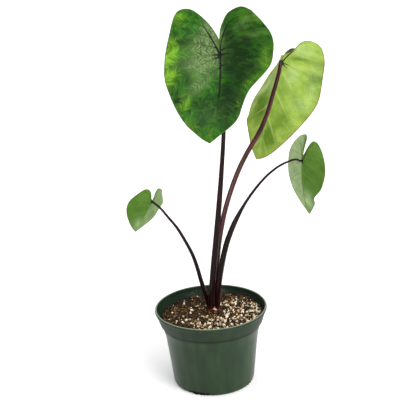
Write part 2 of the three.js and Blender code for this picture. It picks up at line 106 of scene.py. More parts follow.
# A stalk widens below this height, and turns pinkish below the next.
FLARE_HEIGHT = 106
PINK_HEIGHT = 101.5
STALKS = {
    "stalk_front": {
        "blade": "leaf_front",
        "radii": [4.4, 4.2, 3.8, 3, 2.6, 2.3],
        "points": [[0.2, 11, STALK_FOOT], [0.4, 11, 106], [3.2, 12, 130], [6.8, 13, 160],
                   [15, 16, 222], [23, 18, 290], [28, 17, 343], [29.8, 14, 395], [29.5, 10, 430]],
        "reach": 6,
        "slot": "stalk_dark",
    },
    "stalk_right": {
        "blade": "leaf_right",
        "radii": [3.2, 3.4, 3.4, 3.3, 2.9, 2.6],
        "points": [[6, 18.5, STALK_FOOT], [5.9, 18.3, 108], [8.2, 17.8, 130], [10.2, 17.8, 150],
                   [16, 19, 194], [26, 22, 236], [42.2, 27, 279.5], [55.7, 31, 305.5], [77.8, 37, 340],
                   [87.5, 40, 361], [95, 43, 383], [104, 47, 411], [107.5, 52, 424.5]],
        "reach": 4,
        "slot": "stalk_red",
    },
    "stalk_small_right": {
        "blade": "leaf_small_right",
        "radii": [3.2, 3.5, 3.75, 3.8, 3.85, 3.6, 2.05, 1.8, 1.6, 1.45, 1.2],
        "points": [[8.7, 10.3, STALK_FOOT], [10.2, 10.3, 112], [13.2, 10.5, 138], [22.7, 11.5, 182],
                   [30.3, 12.2, 204], [41.4, 13, 227.5], [59, 14, 255.2], [80.5, 15, 280],
                   [97.5, 16, 293], [111, 17, 299], [121, 18.5, 301]],
        "reach": 5,
        "slot": "stalk_dark",
    },
    "stalk_small_left": {
        "blade": "leaf_small_left",
        "radii": [2.7, 2.9, 2.6, 2.2, 1.8, 1.4],
        "points": [[-0.8, 17.6, STALK_FOOT], [-4, 18, 106], [-10.5, 18, 132.5], [-20, 18, 172],
                   [-31, 18, 197.8], [-40, 18.5, 214.8], [-51.2, 19, 230.4], [-61, 20, 243.5]],
        "reach": 4,
        "slot": "stalk_dark",
    },
}

# Blades: each is drawn flat, with the stalk's junction at 0, 0, then folded up along its midrib.
# A point is [across from the midrib, along towards the tip]. Facing, tilt and turn are degrees: which
# way the upper face looks, how far up, and how far the tip swings aside. Fold is a half's slope at the
# lobe, the middle and the tip in degrees, curl and bend are degrees a millimetre, and drift carries
# the tip aside. Wave is the margin's height and length, and quilt the swell between side veins.
# A vein runs from a place on the ribs (-1 lobe to 0 junction to 1 tip) to a share of the outline, and
# bow is how far it bows, as a share of its length. The lobe's rib bows towards its first point, passes
# its second and arrives at lobe_share of the outline. Strip is how far the edge behind it is lifted.
# A dab of colour is its place, its two radii, its strength and, where it lies aslant, its slant in
# degrees; the pale grey-green dabs are painted sheen. Bold names the side veins that show dark on an
# underside, banded is how strong the bands along them are, and the sheen half gives the side of the
# half that is painted paler as sheen, and how pale it is.
SMALL_RIGHT_VEINS = [(-0.5, 0.3), (-0.15, 0.42), (0.03, 0.58), (0.22, 0.7), (0.4, 0.81), (0.6, 0.9),
                     (0.8, 0.96)]
BLADES = {
    "leaf_front": {
        "junction": [27.5, 0, 444.5],
        "facing": -14,
        "tilt": 14,
        "turn": 3.6,
        "length": 109,
        "lobe": 60,
        "drift": -19,
        "bend": (0, -0.2),
        "wave": (4.6, 38),
        "bow": 0.08,
        "quilt": 1.3,
        "rib_scale": 1,
        "shown": "upper",
        "dabs": {
            "bright": [(-61, -11, 8, 12, 1), (-65, 26, 7, 11, 1), (-44, 57, 8, 9, 1),
                       (-52, -50, 10, 7, 0.8), (-58, 4, 14, 26, 0.35), (-68, 8, 7, 28, 0.7),
                       (66, 10, 9, 12, 0.6), (46, -46, 16, 8, 0.25), (42, 36, 12, 5, 0.5, -35),
                       (28, 61, 4, 9, 0.7), (-2, 101, 6, 8, 0.4), (46, -32, 20, 3, 0.35, -27),
                       (60, -46, 12, 6, 0.45, 40), (52, -20, 18, 4, 0.3, -3), (46, 15, 18, 5, 0.3, 6),
                       (-30, 86, 12, 5, 0.35, 40)],
            # The deep dabs on the right half are partly dark colour round the veins and partly painted shade,
            # as that half faces away from the lamp.
            "deep": [(-44, -19, 14, 5, 0.6), (-45, 10, 12, 5, 0.7, -13), (-41, 31, 14, 3.5, 0.6, -38),
                     (-52, 46, 9, 6, 0.8, -40), (-52, 56, 5, 5, 0.6), (-14, 57, 26, 10, 0.5),
                     (26, -12, 26, 12, 0.95, -20), (30, 8, 26, 13, 0.95), (14, -28, 9, 14, 0.8),
                     (12, 14, 8, 16, 0.5), (30, 27, 16, 12, 0.7), (14, 44, 12, 20, 0.8),
                     (22, 66, 14, 18, 0.7), (-4, 76, 20, 18, 0.6)],
            # Pale grey-green sheen painted on the left half near the midrib.
            "painted_sheen": [(-17, -10, 19, 16, 0.95), (-24, 12, 20, 12, 0.8), (-26, 35, 15, 8, 0.7, -40),
                      (-14, -38, 7, 20, 0.9, 20), (42, -38, 20, 4, 0.35, -27), (54, -22, 16, 3, 0.25, -10),
                      (4, -34, 4, 14, 0.6), (-6, -30, 5, 16, 1), (-22, -2, 12, 12, 0.3),
                      (-4, 74, 24, 14, 0.12)],
        },
        "halves": [
            {"side": -1, "fold": (26, 18, 8), "curl": 0.1, "rib": [[12, -28], [28, -50.5]],
             "lobe_share": 0.195, "strip": 5, "combed": True,
             "outline": [[0, -19], [5, -28], [15, -42], [31, -58], [44, -61], [54, -55], [61, -35],
                         [65.5, -19], [68.5, -3], [71, 14], [69.5, 28], [64, 43], [57, 57], [47, 72],
                         [36, 84.5], [23, 95], [11, 103.5], [0, 109]],
             "veins": [(-0.78, 0.256), (-0.58, 0.315), (-0.36, 0.385), (-0.14, 0.446), (0, 0.553),
                       (0.02, 0.645), (0.14, 0.739), (0.3, 0.804), (0.44, 0.859), (0.57, 0.902), (0.7, 0.939),
                       (0.83, 0.976)]},
            {"side": 1, "fold": (30, 18, 12), "curl": 0.05, "rib": [[0.5, -28], [30, -50]],
             "lobe_share": 0.203, "strip": 5,
             "outline": [[0, -19], [3.5, -29], [11, -40], [21.5, -51.5], [38, -57.5], [52, -53],
                         [60.5, -45.5], [68.5, -37], [73, -27], [75, -14], [77, 1], [72.5, 15],
                         [63, 27], [52, 37.5], [42.5, 46.5], [37, 56.5], [34, 67.5], [32.3, 77],
                         [28, 85], [20.5, 92], [9, 101], [0, 109]],
             "veins": [(-0.62, 0.303), (-0.34, 0.383), (-0.08, 0.472), (0, 0.538), (0.12, 0.606),
                       (0.26, 0.693), (0.4, 0.761), (0.52, 0.814), (0.63, 0.862), (0.73, 0.904),
                       (0.82, 0.942), (0.91, 0.975)]},
        ],
    },
    "leaf_right": {
        "junction": [110, 62, 422.5],
        "facing": 150,
        "tilt": -3,
        "turn": 16.3,
        "length": 139,
        "lobe": 28,
        "drift": 0,
        "bend": (0, -1),
        "wave": (4.8, 44),
        "bow": 0,
        "quilt": 1.3,
        "rib_scale": 1,
        "shown": "under",
        "bold": (4, 5, 6),
        "banded": 0.4,
        "dabs": {
            "bright": [(-32, 2, 20, 20, 0.5), (-38, 81, 10, 15, 0.8), (-19, 107, 8, 14, 0.9),
                       (-24, 59, 12, 12, 0.4), (-46, 50, 8, 14, 0.6), (13, 110, 5, 8, 0.6),
                       (25, 100, 5, 6, 0.3)],
            "deep": [(-19, -11, 11, 3, 0.8, 12), (-51, 14, 11, 7, 1), (-21, 75, 9, 15, 0.55),
                     (-8, 105, 7, 13, 0.8), (18, 70, 12, 18, 0.9), (30, 66, 10, 16, 0.7),
                     (-10, 40, 8, 14, 0.5),
                     (-6, 90, 12, 22, 0.6), (-16, 112, 10, 16, 0.4)],
            # Pale sheen painted on this underside.
            "painted_sheen": [(-28, -26, 12, 8, 0.4), (-16, -24, 8, 8, 0.4), (-18, 15, 8, 13, 0.5),
                      (-46, 2, 10, 16, 0.3), (-50, 30, 8, 12, 0.3), (-40, 50, 14, 9, 0.35),
                      (40, 42, 6, 12, 0.8), (46, 55, 5, 9, 0.8), (39, 76, 3, 12, 0.5)],
        },
        "halves": [
            {"side": -1, "fold": (24, 34, 12), "curl": 0.02, "rib": [[9, -22], [27, -42]],
             "lobe_share": 0.2, "strip": 2,
             "outline": [[0, -12], [8.5, -20], [14, -36.5], [21.5, -45], [31.5, -48], [40, -45.5], [48, -36],
                         [55, -18], [58.5, 3], [61, 21], [61.5, 35], [60, 47], [55.8, 59.5], [49, 73],
                         [42, 86], [34, 100.5], [27, 112], [17, 126.5], [8, 135], [0, 139]],
             "veins": [(-0.7, 0.253), (-0.3, 0.344), (0, 0.449), (0.01, 0.53), (0.065, 0.658), (0.27, 0.757),
                       (0.54, 0.876), (0.75, 0.943), (0.9, 0.979)]},
            {"side": 1, "fold": (104, 62, 8), "curl": 0.02, "rib": [[8, -18], [20, -22]],
             "lobe_share": 0.16, "strip": 0,
             "outline": [[0, -12], [5, -17], [9, -22], [17, -27], [27, -26], [35, -12], [47, 8],
                         [56, 30], [55.5, 43], [50.5, 56], [44, 75], [38.5, 88], [37, 95], [29, 104],
                         [21, 114], [14, 124.5], [0, 139]],
             "veins": [(-0.5, 0.255), (-0.1, 0.359), (0.05, 0.477), (0.2, 0.608), (0.4, 0.739), (0.6, 0.828),
                       (0.78, 0.924), (0.9, 0.968)]},
        ],
    },
    "leaf_small_right": {
        "junction": [131, 25, 298],
        "facing": 146,
        "tilt": 0,
        "turn": 5.9,
        "length": 75,
        "lobe": 32,
        "drift": -14.3,
        "bend": (-0.1, -0.8),
        "wave": (2.4, 30),
        "bow": 0.05,
        "quilt": 0.7,
        "rib_scale": 0.5,
        "shown": "under",
        # One half is painted paler as sheen.
        "painted_sheen_half": (1, 0.8),
        "dabs": {"painted_sheen": [(-3, 58, 7, 14, 0.7)], "bright": [(-20, -8, 8, 14, 0.4)]},
        "halves": [
            {"side": -1, "fold": (38, 22, 10), "curl": 0.2, "rib": [[5, -15], [12.5, -21]],
             "lobe_share": 0.205, "strip": 1.5,
             "outline": [[0, -6], [1.8, -11], [4.5, -18], [8, -25.5], [11.5, -28.3], [17, -26], [22.5, -18],
                         [26.5, -8], [30, 6], [30, 20], [24, 38], [13, 51], [12, 59], [6, 68], [0, 75]],
             "veins": SMALL_RIGHT_VEINS},
            {"side": 1, "fold": (18, 16, 8), "curl": -0.1, "rib": [[4, -15], [9, -28]],
             "lobe_share": 0.2, "strip": 0,
             "outline": [[0, -6], [-0.5, -16], [-1.2, -25], [-0.6, -31], [3, -34.5], [12, -31.5], [20, -21],
                         [25, -4], [25, 14], [23, 31], [17, 47], [8, 63], [0, 75]],
             "veins": SMALL_RIGHT_VEINS},
        ],
    },
    "leaf_small_left": {
        "junction": [-71.5, 25, 251.5],
        "facing": 212,
        "tilt": 10,
        "turn": 30.4,
        "length": 48,
        "lobe": 17,
        "drift": -2.4,
        "bend": (-0.2, -0.7),
        "wave": (1.6, 24),
        "bow": 0.05,
        "quilt": 0.5,
        "rib_scale": 0.5,
        "shown": "under",
        # One half is painted paler as sheen.
        "painted_sheen_half": (-1, 0.35),
        "dabs": {"painted_sheen": [(2, 37, 7, 10, 0.4)], "bright": [(12, 0, 8, 8, 0.4)]},
        "halves": [
            {"side": -1, "fold": (26, 20, 16), "curl": 0.15, "rib": [[4, -8], [8, -15]],
             "lobe_share": 0.2, "strip": 0.5,
             "outline": [[0, -3], [-0.6, -9], [-0.4, -15], [2.5, -19], [8, -20.5], [14, -20], [18.6, -18],
                         [18.8, -15.8], [22.8, -13], [26.5, -6], [28, 4], [25.5, 15], [17.5, 29], [6, 41],
                         [0, 48]],
             "veins": [(-0.4, 0.34), (0, 0.5), (0.1, 0.62), (0.32, 0.75), (0.55, 0.86), (0.78, 0.945)]},
            {"side": 1, "fold": (15, 20, 9), "curl": 0.25, "rib": [[5, -5], [11, -10]],
             "lobe_share": 0.2, "strip": 0.5,
             "outline": [[0, -2], [2.4, -3.5], [4.4, -8], [8, -12], [13, -13], [18, -9], [24, 3], [28, 13],
                         [27, 24], [20, 35], [9, 44], [0, 48]],
             "veins": [(-0.4, 0.32), (0, 0.5), (0.12, 0.62), (0.35, 0.75), (0.58, 0.86), (0.8, 0.945)]},
        ],
    },
}
# The share of each outline that the row through the junction runs to.
JUNCTION_SHARE = 0.5
BLADE_THICKNESS = 0.6
# Fine veins leave a side vein this far apart on a large blade, and slant this far along for each
# millimetre out.
FEATHER = 4.4
BARB_SLANT = 0.8
# How far a row of points bows, as a share of its length.
ROW_BOW = 0.04
# Points of a margin or a stalk between two given ones.
CURVE_STEPS = 40

# Light: a diffuser overhead, a low white sweep all round, the dim room between them, and a lamp at
# the front right.
OVERHEAD_LIGHT = 1.75
SWEEP_LIGHT = 1.1
ROOM_LIGHT = 0.08
LAMP_LIGHT = 2.4
LAMP_TOWARDS = (0.6, -0.66, 0.55)
LAMP_WIDTH = 40
# A tall narrow panel at the front left, in metres and watts, aimed at the leaves.
STRIP_AT = (-0.5, -0.9, 0.6)
STRIP_SIZE = (0.2, 0.8)
STRIP_LIGHT = 8
STRIP_TARGET = (0.05, 0, 0.28)

# The table goes this many metres each way.
TABLE_REACH = 20

# The photograph's camera, in metres and degrees, and its focal length as pixels of the photograph.
CAMERA_AT = (0, -1.1, 0.593)
CAMERA_PITCH, CAMERA_YAW, CAMERA_ROLL = 17.5, 0.15, 2.85
FOCAL_PIXELS = 879.5
PHOTO_PIXELS = 416
SENSOR_WIDTH = 36


# Small helpers


def smooth(share):
    """0 to 1, starting and ending gently."""
    share = np.clip(share, 0, 1)
    return share * share * (3 - 2 * share)


def bell(distance, width):
    """1 on a line, falling off over a width."""
    return np.exp(-((distance / width) ** 2))


def unit(vectors):
    return vectors / np.maximum(np.linalg.norm(vectors, axis=-1, keepdims=True), 1e-9)


def linear(hex_colour):
    """An sRGB hex colour as linear red, green, blue and alpha."""
    channels = [int(hex_colour[i:i + 2], 16) / 255 for i in (1, 3, 5)]
    return (*[c / 12.92 if c <= 0.04045 else ((c + 0.055) / 1.055) ** 2.4 for c in channels], 1)


def lumps(x, y, seed):
    """Smooth random heights from -1 to 1 on a unit grid, for uneven natural surfaces."""
    low_x = np.floor(x).astype(int)
    low_y = np.floor(y).astype(int)
    across = smooth(x - low_x)
    along = smooth(y - low_y)

    def corner(i, j):
        wave = np.sin((low_x + i) * 127.1 + (low_y + j) * 311.7 + seed * 74.7) * 43758.5453
        return 2 * (wave - np.floor(wave)) - 1

    near = corner(0, 0) * (1 - across) + corner(1, 0) * across
    far = corner(0, 1) * (1 - across) + corner(1, 1) * across
    return near * (1 - along) + far * along


def place_piece(name, points, faces, replaced, materials, marks=None, which=None):
    """A smooth mesh piece that stands for CAD nodes and rides with the pot."""
    mesh = bpy.data.meshes.new(name)
    mesh.from_pydata((np.asarray(points) * MM).tolist(), [], [list(map(int, face)) for face in faces])
    for mark, values in (marks or {}).items():
        kind = "FLOAT_VECTOR" if np.ndim(values) == 2 else "FLOAT"
        layer = mesh.attributes.new(mark, kind, "POINT")
        layer.data.foreach_set("vector" if kind == "FLOAT_VECTOR" else "value", np.ravel(values))
    for material in materials:
        mesh.materials.append(material)
    if which is not None:
        mesh.polygons.foreach_set("material_index", np.asarray(which, dtype=np.int32))
    mesh.polygons.foreach_set("use_smooth", [True] * len(mesh.polygons))
    mesh.update()
    piece = bpy.data.objects.new(name, mesh)
    bpy.context.scene.collection.objects.link(piece)
    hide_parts(*replaced)
    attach(piece, "root")
    return piece


def node(tree, kind, inputs=None, **settings):
    """A shader node, with values or other nodes' outputs on its inputs."""
    made = tree.nodes.new(kind)
    for key, value in settings.items():
        setattr(made, key, value)
    for key, value in (inputs or {}).items():
        if isinstance(value, bpy.types.NodeSocket):
            tree.links.new(value, made.inputs[key])
        else:
            made.inputs[key].default_value = value
    return made


# A colour mix has its factor and its two colours on these inputs, and its result on this output.
FACTOR, FIRST, SECOND, MIXED = 0, 6, 7, 2
# A range that starts and ends gently.
EASED = {"interpolation_type": "SMOOTHSTEP"}


def new_material(name, roughness, ior, shine=0.5):
    """A material with one shader: the material, its node tree and the shader."""
    material = bpy.data.materials.new(name)
    material.use_nodes = True
    shader = material.node_tree.nodes["Principled BSDF"]
    shader.inputs["Roughness"].default_value = roughness
    shader.inputs["IOR"].default_value = ior
    shader.inputs["Specular IOR Level"].default_value = shine
    return material, material.node_tree, shader


def layered(tree, base, layers):
    """A colour with others laid over it, each as far as its mark reaches."""
    for mark, colour in layers:
        base = node(tree, "ShaderNodeMix", {FACTOR: mark, FIRST: base, SECOND: linear(colour)},
                    data_type="RGBA").outputs[MIXED]
    return base


def marks_on(tree, *names):
    """The marks that place_piece put on a piece's points."""
    return [node(tree, "ShaderNodeAttribute", attribute_name=name).outputs["Fac"] for name in names]


def finish_skin(tree, shader, colour, relief, strength, depth):
    """Gives a shader its colour, and the relief of its surface at a depth in millimetres."""
    tree.links.new(colour, shader.inputs["Base Color"])
    bump = node(tree, "ShaderNodeBump", {"Height": relief, "Strength": strength, "Distance": depth * MM})
    tree.links.new(bump.outputs["Normal"], shader.inputs["Normal"])


# Materials


def moulded_polyethylene():
    """Green nursery-pot polyethylene, injection moulded: satin, with long flow marks down the wall,
    a fine orange-peel skin, and peat dust on the inside. Shade is painted darker inside the pot and in
    the groove under the band, the band is painted a little darker, and a highlight is painted along
    the top of the lip."""
    material, tree, shader = new_material("moulded green polyethylene", 0.32, 1.51, 0.16)
    place = node(tree, "ShaderNodeTexCoord").outputs["Object"]
    # Flow marks are 12.5 mm wide and drawn out to five times that down the wall.
    drawn = node(tree, "ShaderNodeMapping", {"Vector": place, "Scale": (1, 1, 0.2)}).outputs["Vector"]
    flow = node(tree, "ShaderNodeTexNoise", {"Vector": drawn, "Scale": 1 / (12.5 * MM),
                                             "Detail": 4.0}).outputs["Fac"]
    # Dust specks are about 1.4 mm, drawn coarser than the real dust so that they show.
    speck = node(tree, "ShaderNodeTexNoise", {"Vector": place, "Scale": 700.0, "Detail": 2.0}).outputs["Fac"]
    # The rim mark is a highlight painted along the top of the lip.
    rim, inside, groove_shade_and_dark_band = marks_on(tree, "rim", "inside", "groove_shade_and_dark_band")
    streaks = node(tree, "ShaderNodeMapRange", {"Value": flow, "From Min": 0.3, "From Max": 0.74},
                   **EASED).outputs["Result"]
    spots = node(tree, "ShaderNodeMapRange", {"Value": speck, "From Min": 0.58, "From Max": 0.68},
                 **EASED).outputs["Result"]
    dust = node(tree, "ShaderNodeMath", {0: inside, 1: spots}, operation="MULTIPLY").outputs["Value"]
    # Inside the pot the wall is painted darker green, as shade in its hollow; the dust lies over it.
    colour = layered(tree, linear("#213020"), [(streaks, "#293d26"), (inside, "#14261a"), (dust, "#3f4632"),
                                               # Painted shade in the groove under the band, and the band
                                               # painted a little darker.
                                               (groove_shade_and_dark_band, "#0c120a"), (rim, "#83907a")])
    # The orange peel's dimples are about 4 mm across, drawn coarser than real ones so that they show.
    skin = node(tree, "ShaderNodeTexNoise", {"Vector": place, "Scale": 260.0, "Detail": 3.0}).outputs["Fac"]
    gloss = node(tree, "ShaderNodeMapRange", {"Value": skin, "To Min": 0.26,
                                              "To Max": 0.38}).outputs["Result"]
    # Where the groove's shade is painted, and a little over the band, the gloss is taken away too.
    dulled = node(tree, "ShaderNodeMath", {0: groove_shade_and_dark_band, 1: 0.5, 2: gloss},
                  operation="MULTIPLY_ADD").outputs["Value"]
    tree.links.new(dulled, shader.inputs["Roughness"])
    finish_skin(tree, shader, colour, skin, 0.1, 0.6)
    return material


def damp_peat():
    """Damp milled peat and composted bark: matt, with golden fibres. One noise makes both the crumbs'
    relief and their colour, so their tops are painted lighter and their hollows painted near black as
    shade.
    """
    material, tree, shader = new_material("damp peat and bark", 0.85, 1.4, 0.25)
    place = node(tree, "ShaderNodeTexCoord").outputs["Object"]
    tone, = marks_on(tree, "tone")
    # Crumbs and fibres are about 1.5 mm.
    crumb = node(tree, "ShaderNodeTexNoise", {"Vector": place, "Scale": 650.0, "Detail": 3.0}).outputs["Fac"]
    # Crumbs differ in tone at random, and as the same noise makes their relief, their tops are painted
    # lighter and their hollows near black: painted light and shade.
    lit = node(tree, "ShaderNodeMapRange", {"Value": crumb, "From Min": 0.4, "From Max": 0.68},
               **EASED).outputs["Result"]
    colour = layered(tree, linear("#080402"), [(lit, "#25160a"), (tone, "#b88c50")])
    finish_skin(tree, shader, colour, crumb, 0.9, 1.2)
    return material


def expanded_perlite():
    """Expanded perlite: chalk-white foamed glass grains, matt, tan where peat stains their pits."""
    material, tree, shader = new_material("expanded perlite", 0.75, 1.45)
    place = node(tree, "ShaderNodeTexCoord").outputs["Object"]
    tone, = marks_on(tree, "tone")
    # Pits are about 0.8 mm.
    pits = node(tree, "ShaderNodeTexNoise", {"Vector": place, "Scale": 1300.0, "Detail": 2.0}).outputs["Fac"]
    stain = node(tree, "ShaderNodeMapRange", {"Value": pits, "From Min": 0.56, "From Max": 0.7},
                 **EASED).outputs["Result"]
    colour = layered(tree, linear("#fff4de"), [(tone, "#b8945c"), (stain, "#7a5832")])
    finish_skin(tree, shader, colour, pits, 0.5, 0.4)
    return material


def stalk_skin(name, dark, light, shine, roughness):
    """Living stalk skin: glossy and dark, streaked along its length, with a pale sheath edge. It is
    pinkish where it comes out of the soil and near black at the blade."""
    material, tree, shader = new_material(name, roughness, 1.4, shine)
    along = node(tree, "ShaderNodeAttribute", attribute_name="flat").outputs["Vector"]
    foot, edge, neck = marks_on(tree, "foot", "edge", "neck")
    streak = node(tree, "ShaderNodeTexNoise", {"Vector": along, "Scale": 1.0, "Detail": 3.0}).outputs["Fac"]
    lit = node(tree, "ShaderNodeMapRange", {"Value": streak, "From Min": 0.4, "From Max": 0.7},
               **EASED).outputs["Result"]
    colour = layered(tree, linear(dark), [(lit, light), (foot, "#6e3a30"), (edge, "#75585c"),
                                          (neck, "#0c0406")])
    finish_skin(tree, shader, colour, streak, 0.15, 0.5)
    return material


def corm_skin():
    """Corm skin: pale pink and cream flesh under a thin brown papery sheath."""
    material, tree, shader = new_material("corm skin", 0.5, 1.45)
    place = node(tree, "ShaderNodeTexCoord").outputs["Object"]
    # The sheath is torn into scraps of about 6 mm.
    sheath = node(tree, "ShaderNodeTexNoise", {"Vector": place, "Scale": 1 / (6.25 * MM),
                                               "Detail": 3.0}).outputs["Fac"]
    bare, = marks_on(tree, "bare")
    torn = node(tree, "ShaderNodeMapRange", {"Value": sheath, "From Min": 0.3, "From Max": 0.55},
                **EASED).outputs["Result"]
    colour = layered(tree, linear("#1c0a0a"), [(torn, "#3a1814"), (bare, "#d6a48a")])
    finish_skin(tree, shader, colour, sheath, 0.4, 0.8)
    return material


def leaf_skin(name, tints, roughness, net, streaks):
    """Living leaf skin: satin cuticle over green, mottled between the side veins, with coloured
    ribs, feathered fine veins, a thin margin line and patches of painted sheen."""
    material, tree, shader = new_material(name, roughness, 1.45, 0.12)
    flat = node(tree, "ShaderNodeAttribute", attribute_name="flat").outputs["Vector"]
    barb = node(tree, "ShaderNodeAttribute", attribute_name="barb").outputs["Vector"]
    # Mottling comes in patches of about 12 mm, with streaks 4 mm apart.
    patches = node(tree, "ShaderNodeTexNoise", {"Vector": flat, "Scale": 0.085, "Detail": 3.0}).outputs["Fac"]
    combed = node(tree, "ShaderNodeTexNoise", {"Vector": barb, "Scale": 0.25, "Detail": 2.0}).outputs["Fac"]
    both = node(tree, "ShaderNodeMath", {0: combed, 1: streaks, 2: patches},
                operation="MULTIPLY_ADD").outputs["Value"]
    spread = node(tree, "ShaderNodeMapRange", {"Value": both, "From Min": 0.5 * streaks + 0.18,
                                               "From Max": 0.5 * streaks + 0.82},
                  **EASED).outputs["Result"]
    base = layered(tree, linear(tints["dark"]), [(spread, tints["light"])])
    # The dabs are ragged: each reaches this much further on the pattern's light parts, and at least so far.
    patterns = {mark: node(tree, "ShaderNodeMath", {0: spread, 1: further, 2: least},
                           operation="MULTIPLY_ADD").outputs["Value"]
                for mark, further, least in (("bright", 0.6, 0.45), ("deep", -0.4, 1.15),
                                             ("painted_sheen", 0.4, 0.7))}
    # Net veins fence off cells of about 6 mm, their lines drawn 1 mm wide to show.
    fences = node(tree, "ShaderNodeTexVoronoi", {"Vector": flat, "Scale": 0.17}, feature="DISTANCE_TO_EDGE")
    patterns["net"] = node(tree, "ShaderNodeMapRange", {"Value": fences.outputs["Distance"], "From Max": 0.1,
                                                        "To Min": 0.6, "To Max": 0.0},
                           **EASED).outputs["Result"]
    layers = []
    names = ("bright", "deep", "painted_sheen", "net", "fine", "vein", "rib", "edge")
    for mark, reach in zip(names, marks_on(tree, *names)):
        if mark in patterns:
            reach = node(tree, "ShaderNodeMath", {0: reach, 1: patterns[mark]}, operation="MULTIPLY",
                         use_clamp=True).outputs["Value"]
        layers.append((reach, tints["fine" if mark == "net" else mark]))
    # The relief's meshes are about 2 mm across.
    cells = node(tree, "ShaderNodeTexVoronoi", {"Vector": flat, "Scale": 0.5}, feature="DISTANCE_TO_EDGE")
    lines = node(tree, "ShaderNodeMapRange", {"Value": cells.outputs["Distance"], "From Max": 0.16},
                 **EASED).outputs["Result"]
    finish_skin(tree, shader, layered(tree, base, layers), lines, net, 0.3)
    return material


# Pot


def ring_faces(rings, sides):
    """Four-sided faces between rings of points, one ring after the other."""
    return [[k * sides + i, k * sides + (i + 1) % sides, (k + 1) * sides + (i + 1) % sides,
             (k + 1) * sides + i] for k in range(rings - 1) for i in range(sides)]


def cap_faces(middle, start, sides, last):
    """Triangles from the first or the last ring of points to one in its middle."""
    pairs = [(start + i, start + (i + 1) % sides) for i in range(sides)]
    return [[middle, a, b] if last else [middle, b, a] for a, b in pairs]


def lathe(profile, sides, centre=(0, 0)):
    """Points and faces of a turned solid whose profile starts and ends on the axis."""
    inner = profile[1:-1]
    angles = np.arange(sides) * TURN / sides
    radii = np.array([r for r, _ in inner])[:, None]
    heights = np.array([z for _, z in inner])[:, None]
    ring = np.stack([centre[0] + radii * np.cos(angles), centre[1] + radii * np.sin(angles),
                     heights + 0 * angles], axis=-1)
    points = np.concatenate([ring.reshape(-1, 3), [[*centre, profile[0][1]], [*centre, profile[-1][1]]]])
    count = len(inner) * sides
    return points, [*ring_faces(len(inner), sides), *cap_faces(count, 0, sides, False),
                    *cap_faces(count + 1, count - sides, sides, True)]


def rounded(profile, reach=0.7):
    """The same profile with each corner cut to a small round."""
    points = np.array(profile, float)
    eased = [points[0]]
    for before, corner, after in zip(points[:-2], points[1:-1], points[2:]):
        start, end = (corner + (other - corner) * min(0.4, reach / np.linalg.norm(other - corner))
                      for other in (before, after))
        eased += [start, (start + 2 * corner + end) / 4, end]
    return np.array([*eased, points[-1]])


def make_pot(material):
    inside = [[r - POT_WALL, z] for r, z in OUTER_WALL]
    outside = [[0, 0], [POT_FOOT, 0], FOOT_CORNER, *OUTER_WALL, *LIP_ROLL]
    profile = rounded([*outside, *inside[::-1], [POT_FOOT - POT_WALL, POT_FLOOR], [0, POT_FLOOR]])
    points, faces = lathe(profile.tolist(), POT_SIDES)
    # The rounding made three rings of each corner.
    ring = np.arange(len(points)) // POT_SIDES
    inner_ring = 3 * (len(outside) - 1)
    height = points[:, 2]
    # Inside the pot the wall is painted darker, as shade in its hollow.
    marks = {"inside": smooth((ring - inner_ring) / 3 + 1) * (height > POT_FLOOR),
             # A highlight painted along the top of the lip.
             "rim": 0.8 * smooth((height - LIP_HIGHLIGHT_HEIGHT) / 0.6),
             # Painted shade in the groove under the band, and the band painted a little darker.
             "groove_shade_and_dark_band": bell(height - GROOVE_HEIGHT, GROOVE_WIDTH) + 0.35 * smooth((height - BAND_HEIGHT) / 2)}
    marks["groove_shade_and_dark_band"] *= 1 - marks["inside"]
    cut_slots(place_piece("pot_body", points, faces, ["pot"], [material], marks))


def cut_slots(pot):
    """Cuts the drain slots out of the pot's foot, and leaves their edges sharp."""
    cutters = bmesh.new()
    for i in range(SLOTS["count"]):
        angle = math.radians(SLOTS["first"]) + i * TURN / SLOTS["count"]
        where = Matrix.Rotation(angle, 4, "Z") @ Matrix.Translation((OUTER_WALL[0][0] * MM, 0, 0))
        size = Matrix.Diagonal((SLOTS["depth"] * MM, SLOTS["width"] * MM, 2 * SLOTS["height"] * MM, 1))
        bmesh.ops.create_cube(cutters, size=1, matrix=where @ size)
    tool_mesh = bpy.data.meshes.new("slot_tool")
    cutters.to_mesh(tool_mesh)
    cutters.free()
    tool = bpy.data.objects.new("slot_tool", tool_mesh)
    bpy.context.scene.collection.objects.link(tool)
    cut = pot.modifiers.new("slots", "BOOLEAN")
    cut.object = tool
    cut.solver = "EXACT"
    finished = bpy.data.meshes.new_from_object(pot.evaluated_get(bpy.context.evaluated_depsgraph_get()))
    pot.modifiers.clear()
    pot.data = finished
    finished.set_sharp_from_angle(angle=math.radians(SHARP_ANGLE))
    bpy.data.objects.remove(tool)


# Soil


def wall_radius(height):
    """The radius of the pot's inner wall."""
    return np.interp(height, [z for _, z in OUTER_WALL], [r - POT_WALL for r, _ in OUTER_WALL])


def soil_height(x, y):
    """The soil's surface without its crumbs, in low swells."""
    swell = 0.9 * np.sin(x / 9) * np.cos(y / 11) + 0.55 * np.sin((x + y) / 5)
    return SOIL_LEVEL + SOIL_SLOPE[0] * x + SOIL_SLOPE[1] * y + swell


def soil_edge(height):
    """The radius that the soil reaches, just clear of the pot's wall."""
    return wall_radius(height) - SOIL_GAP


def crumbled(x, y):
    """The soil's surface, heaped a little round the corm, with crumbs of about 6, 2.5 and 1.2 mm."""
    rough = 1.0 * lumps(x / 6, y / 6, 1) + 0.9 * lumps(x / 2.5, y / 2.5, 2) + 0.4 * lumps(x / 1.2, y / 1.2, 3)
    return soil_height(x, y) + rough + HEAP_HEIGHT * bell(np.maximum(from_corm(x, y) - 9, 0), 7)


def from_corm(x, y):
    return np.hypot(x - CORM_CENTRE[0], y - CORM_CENTRE[1])


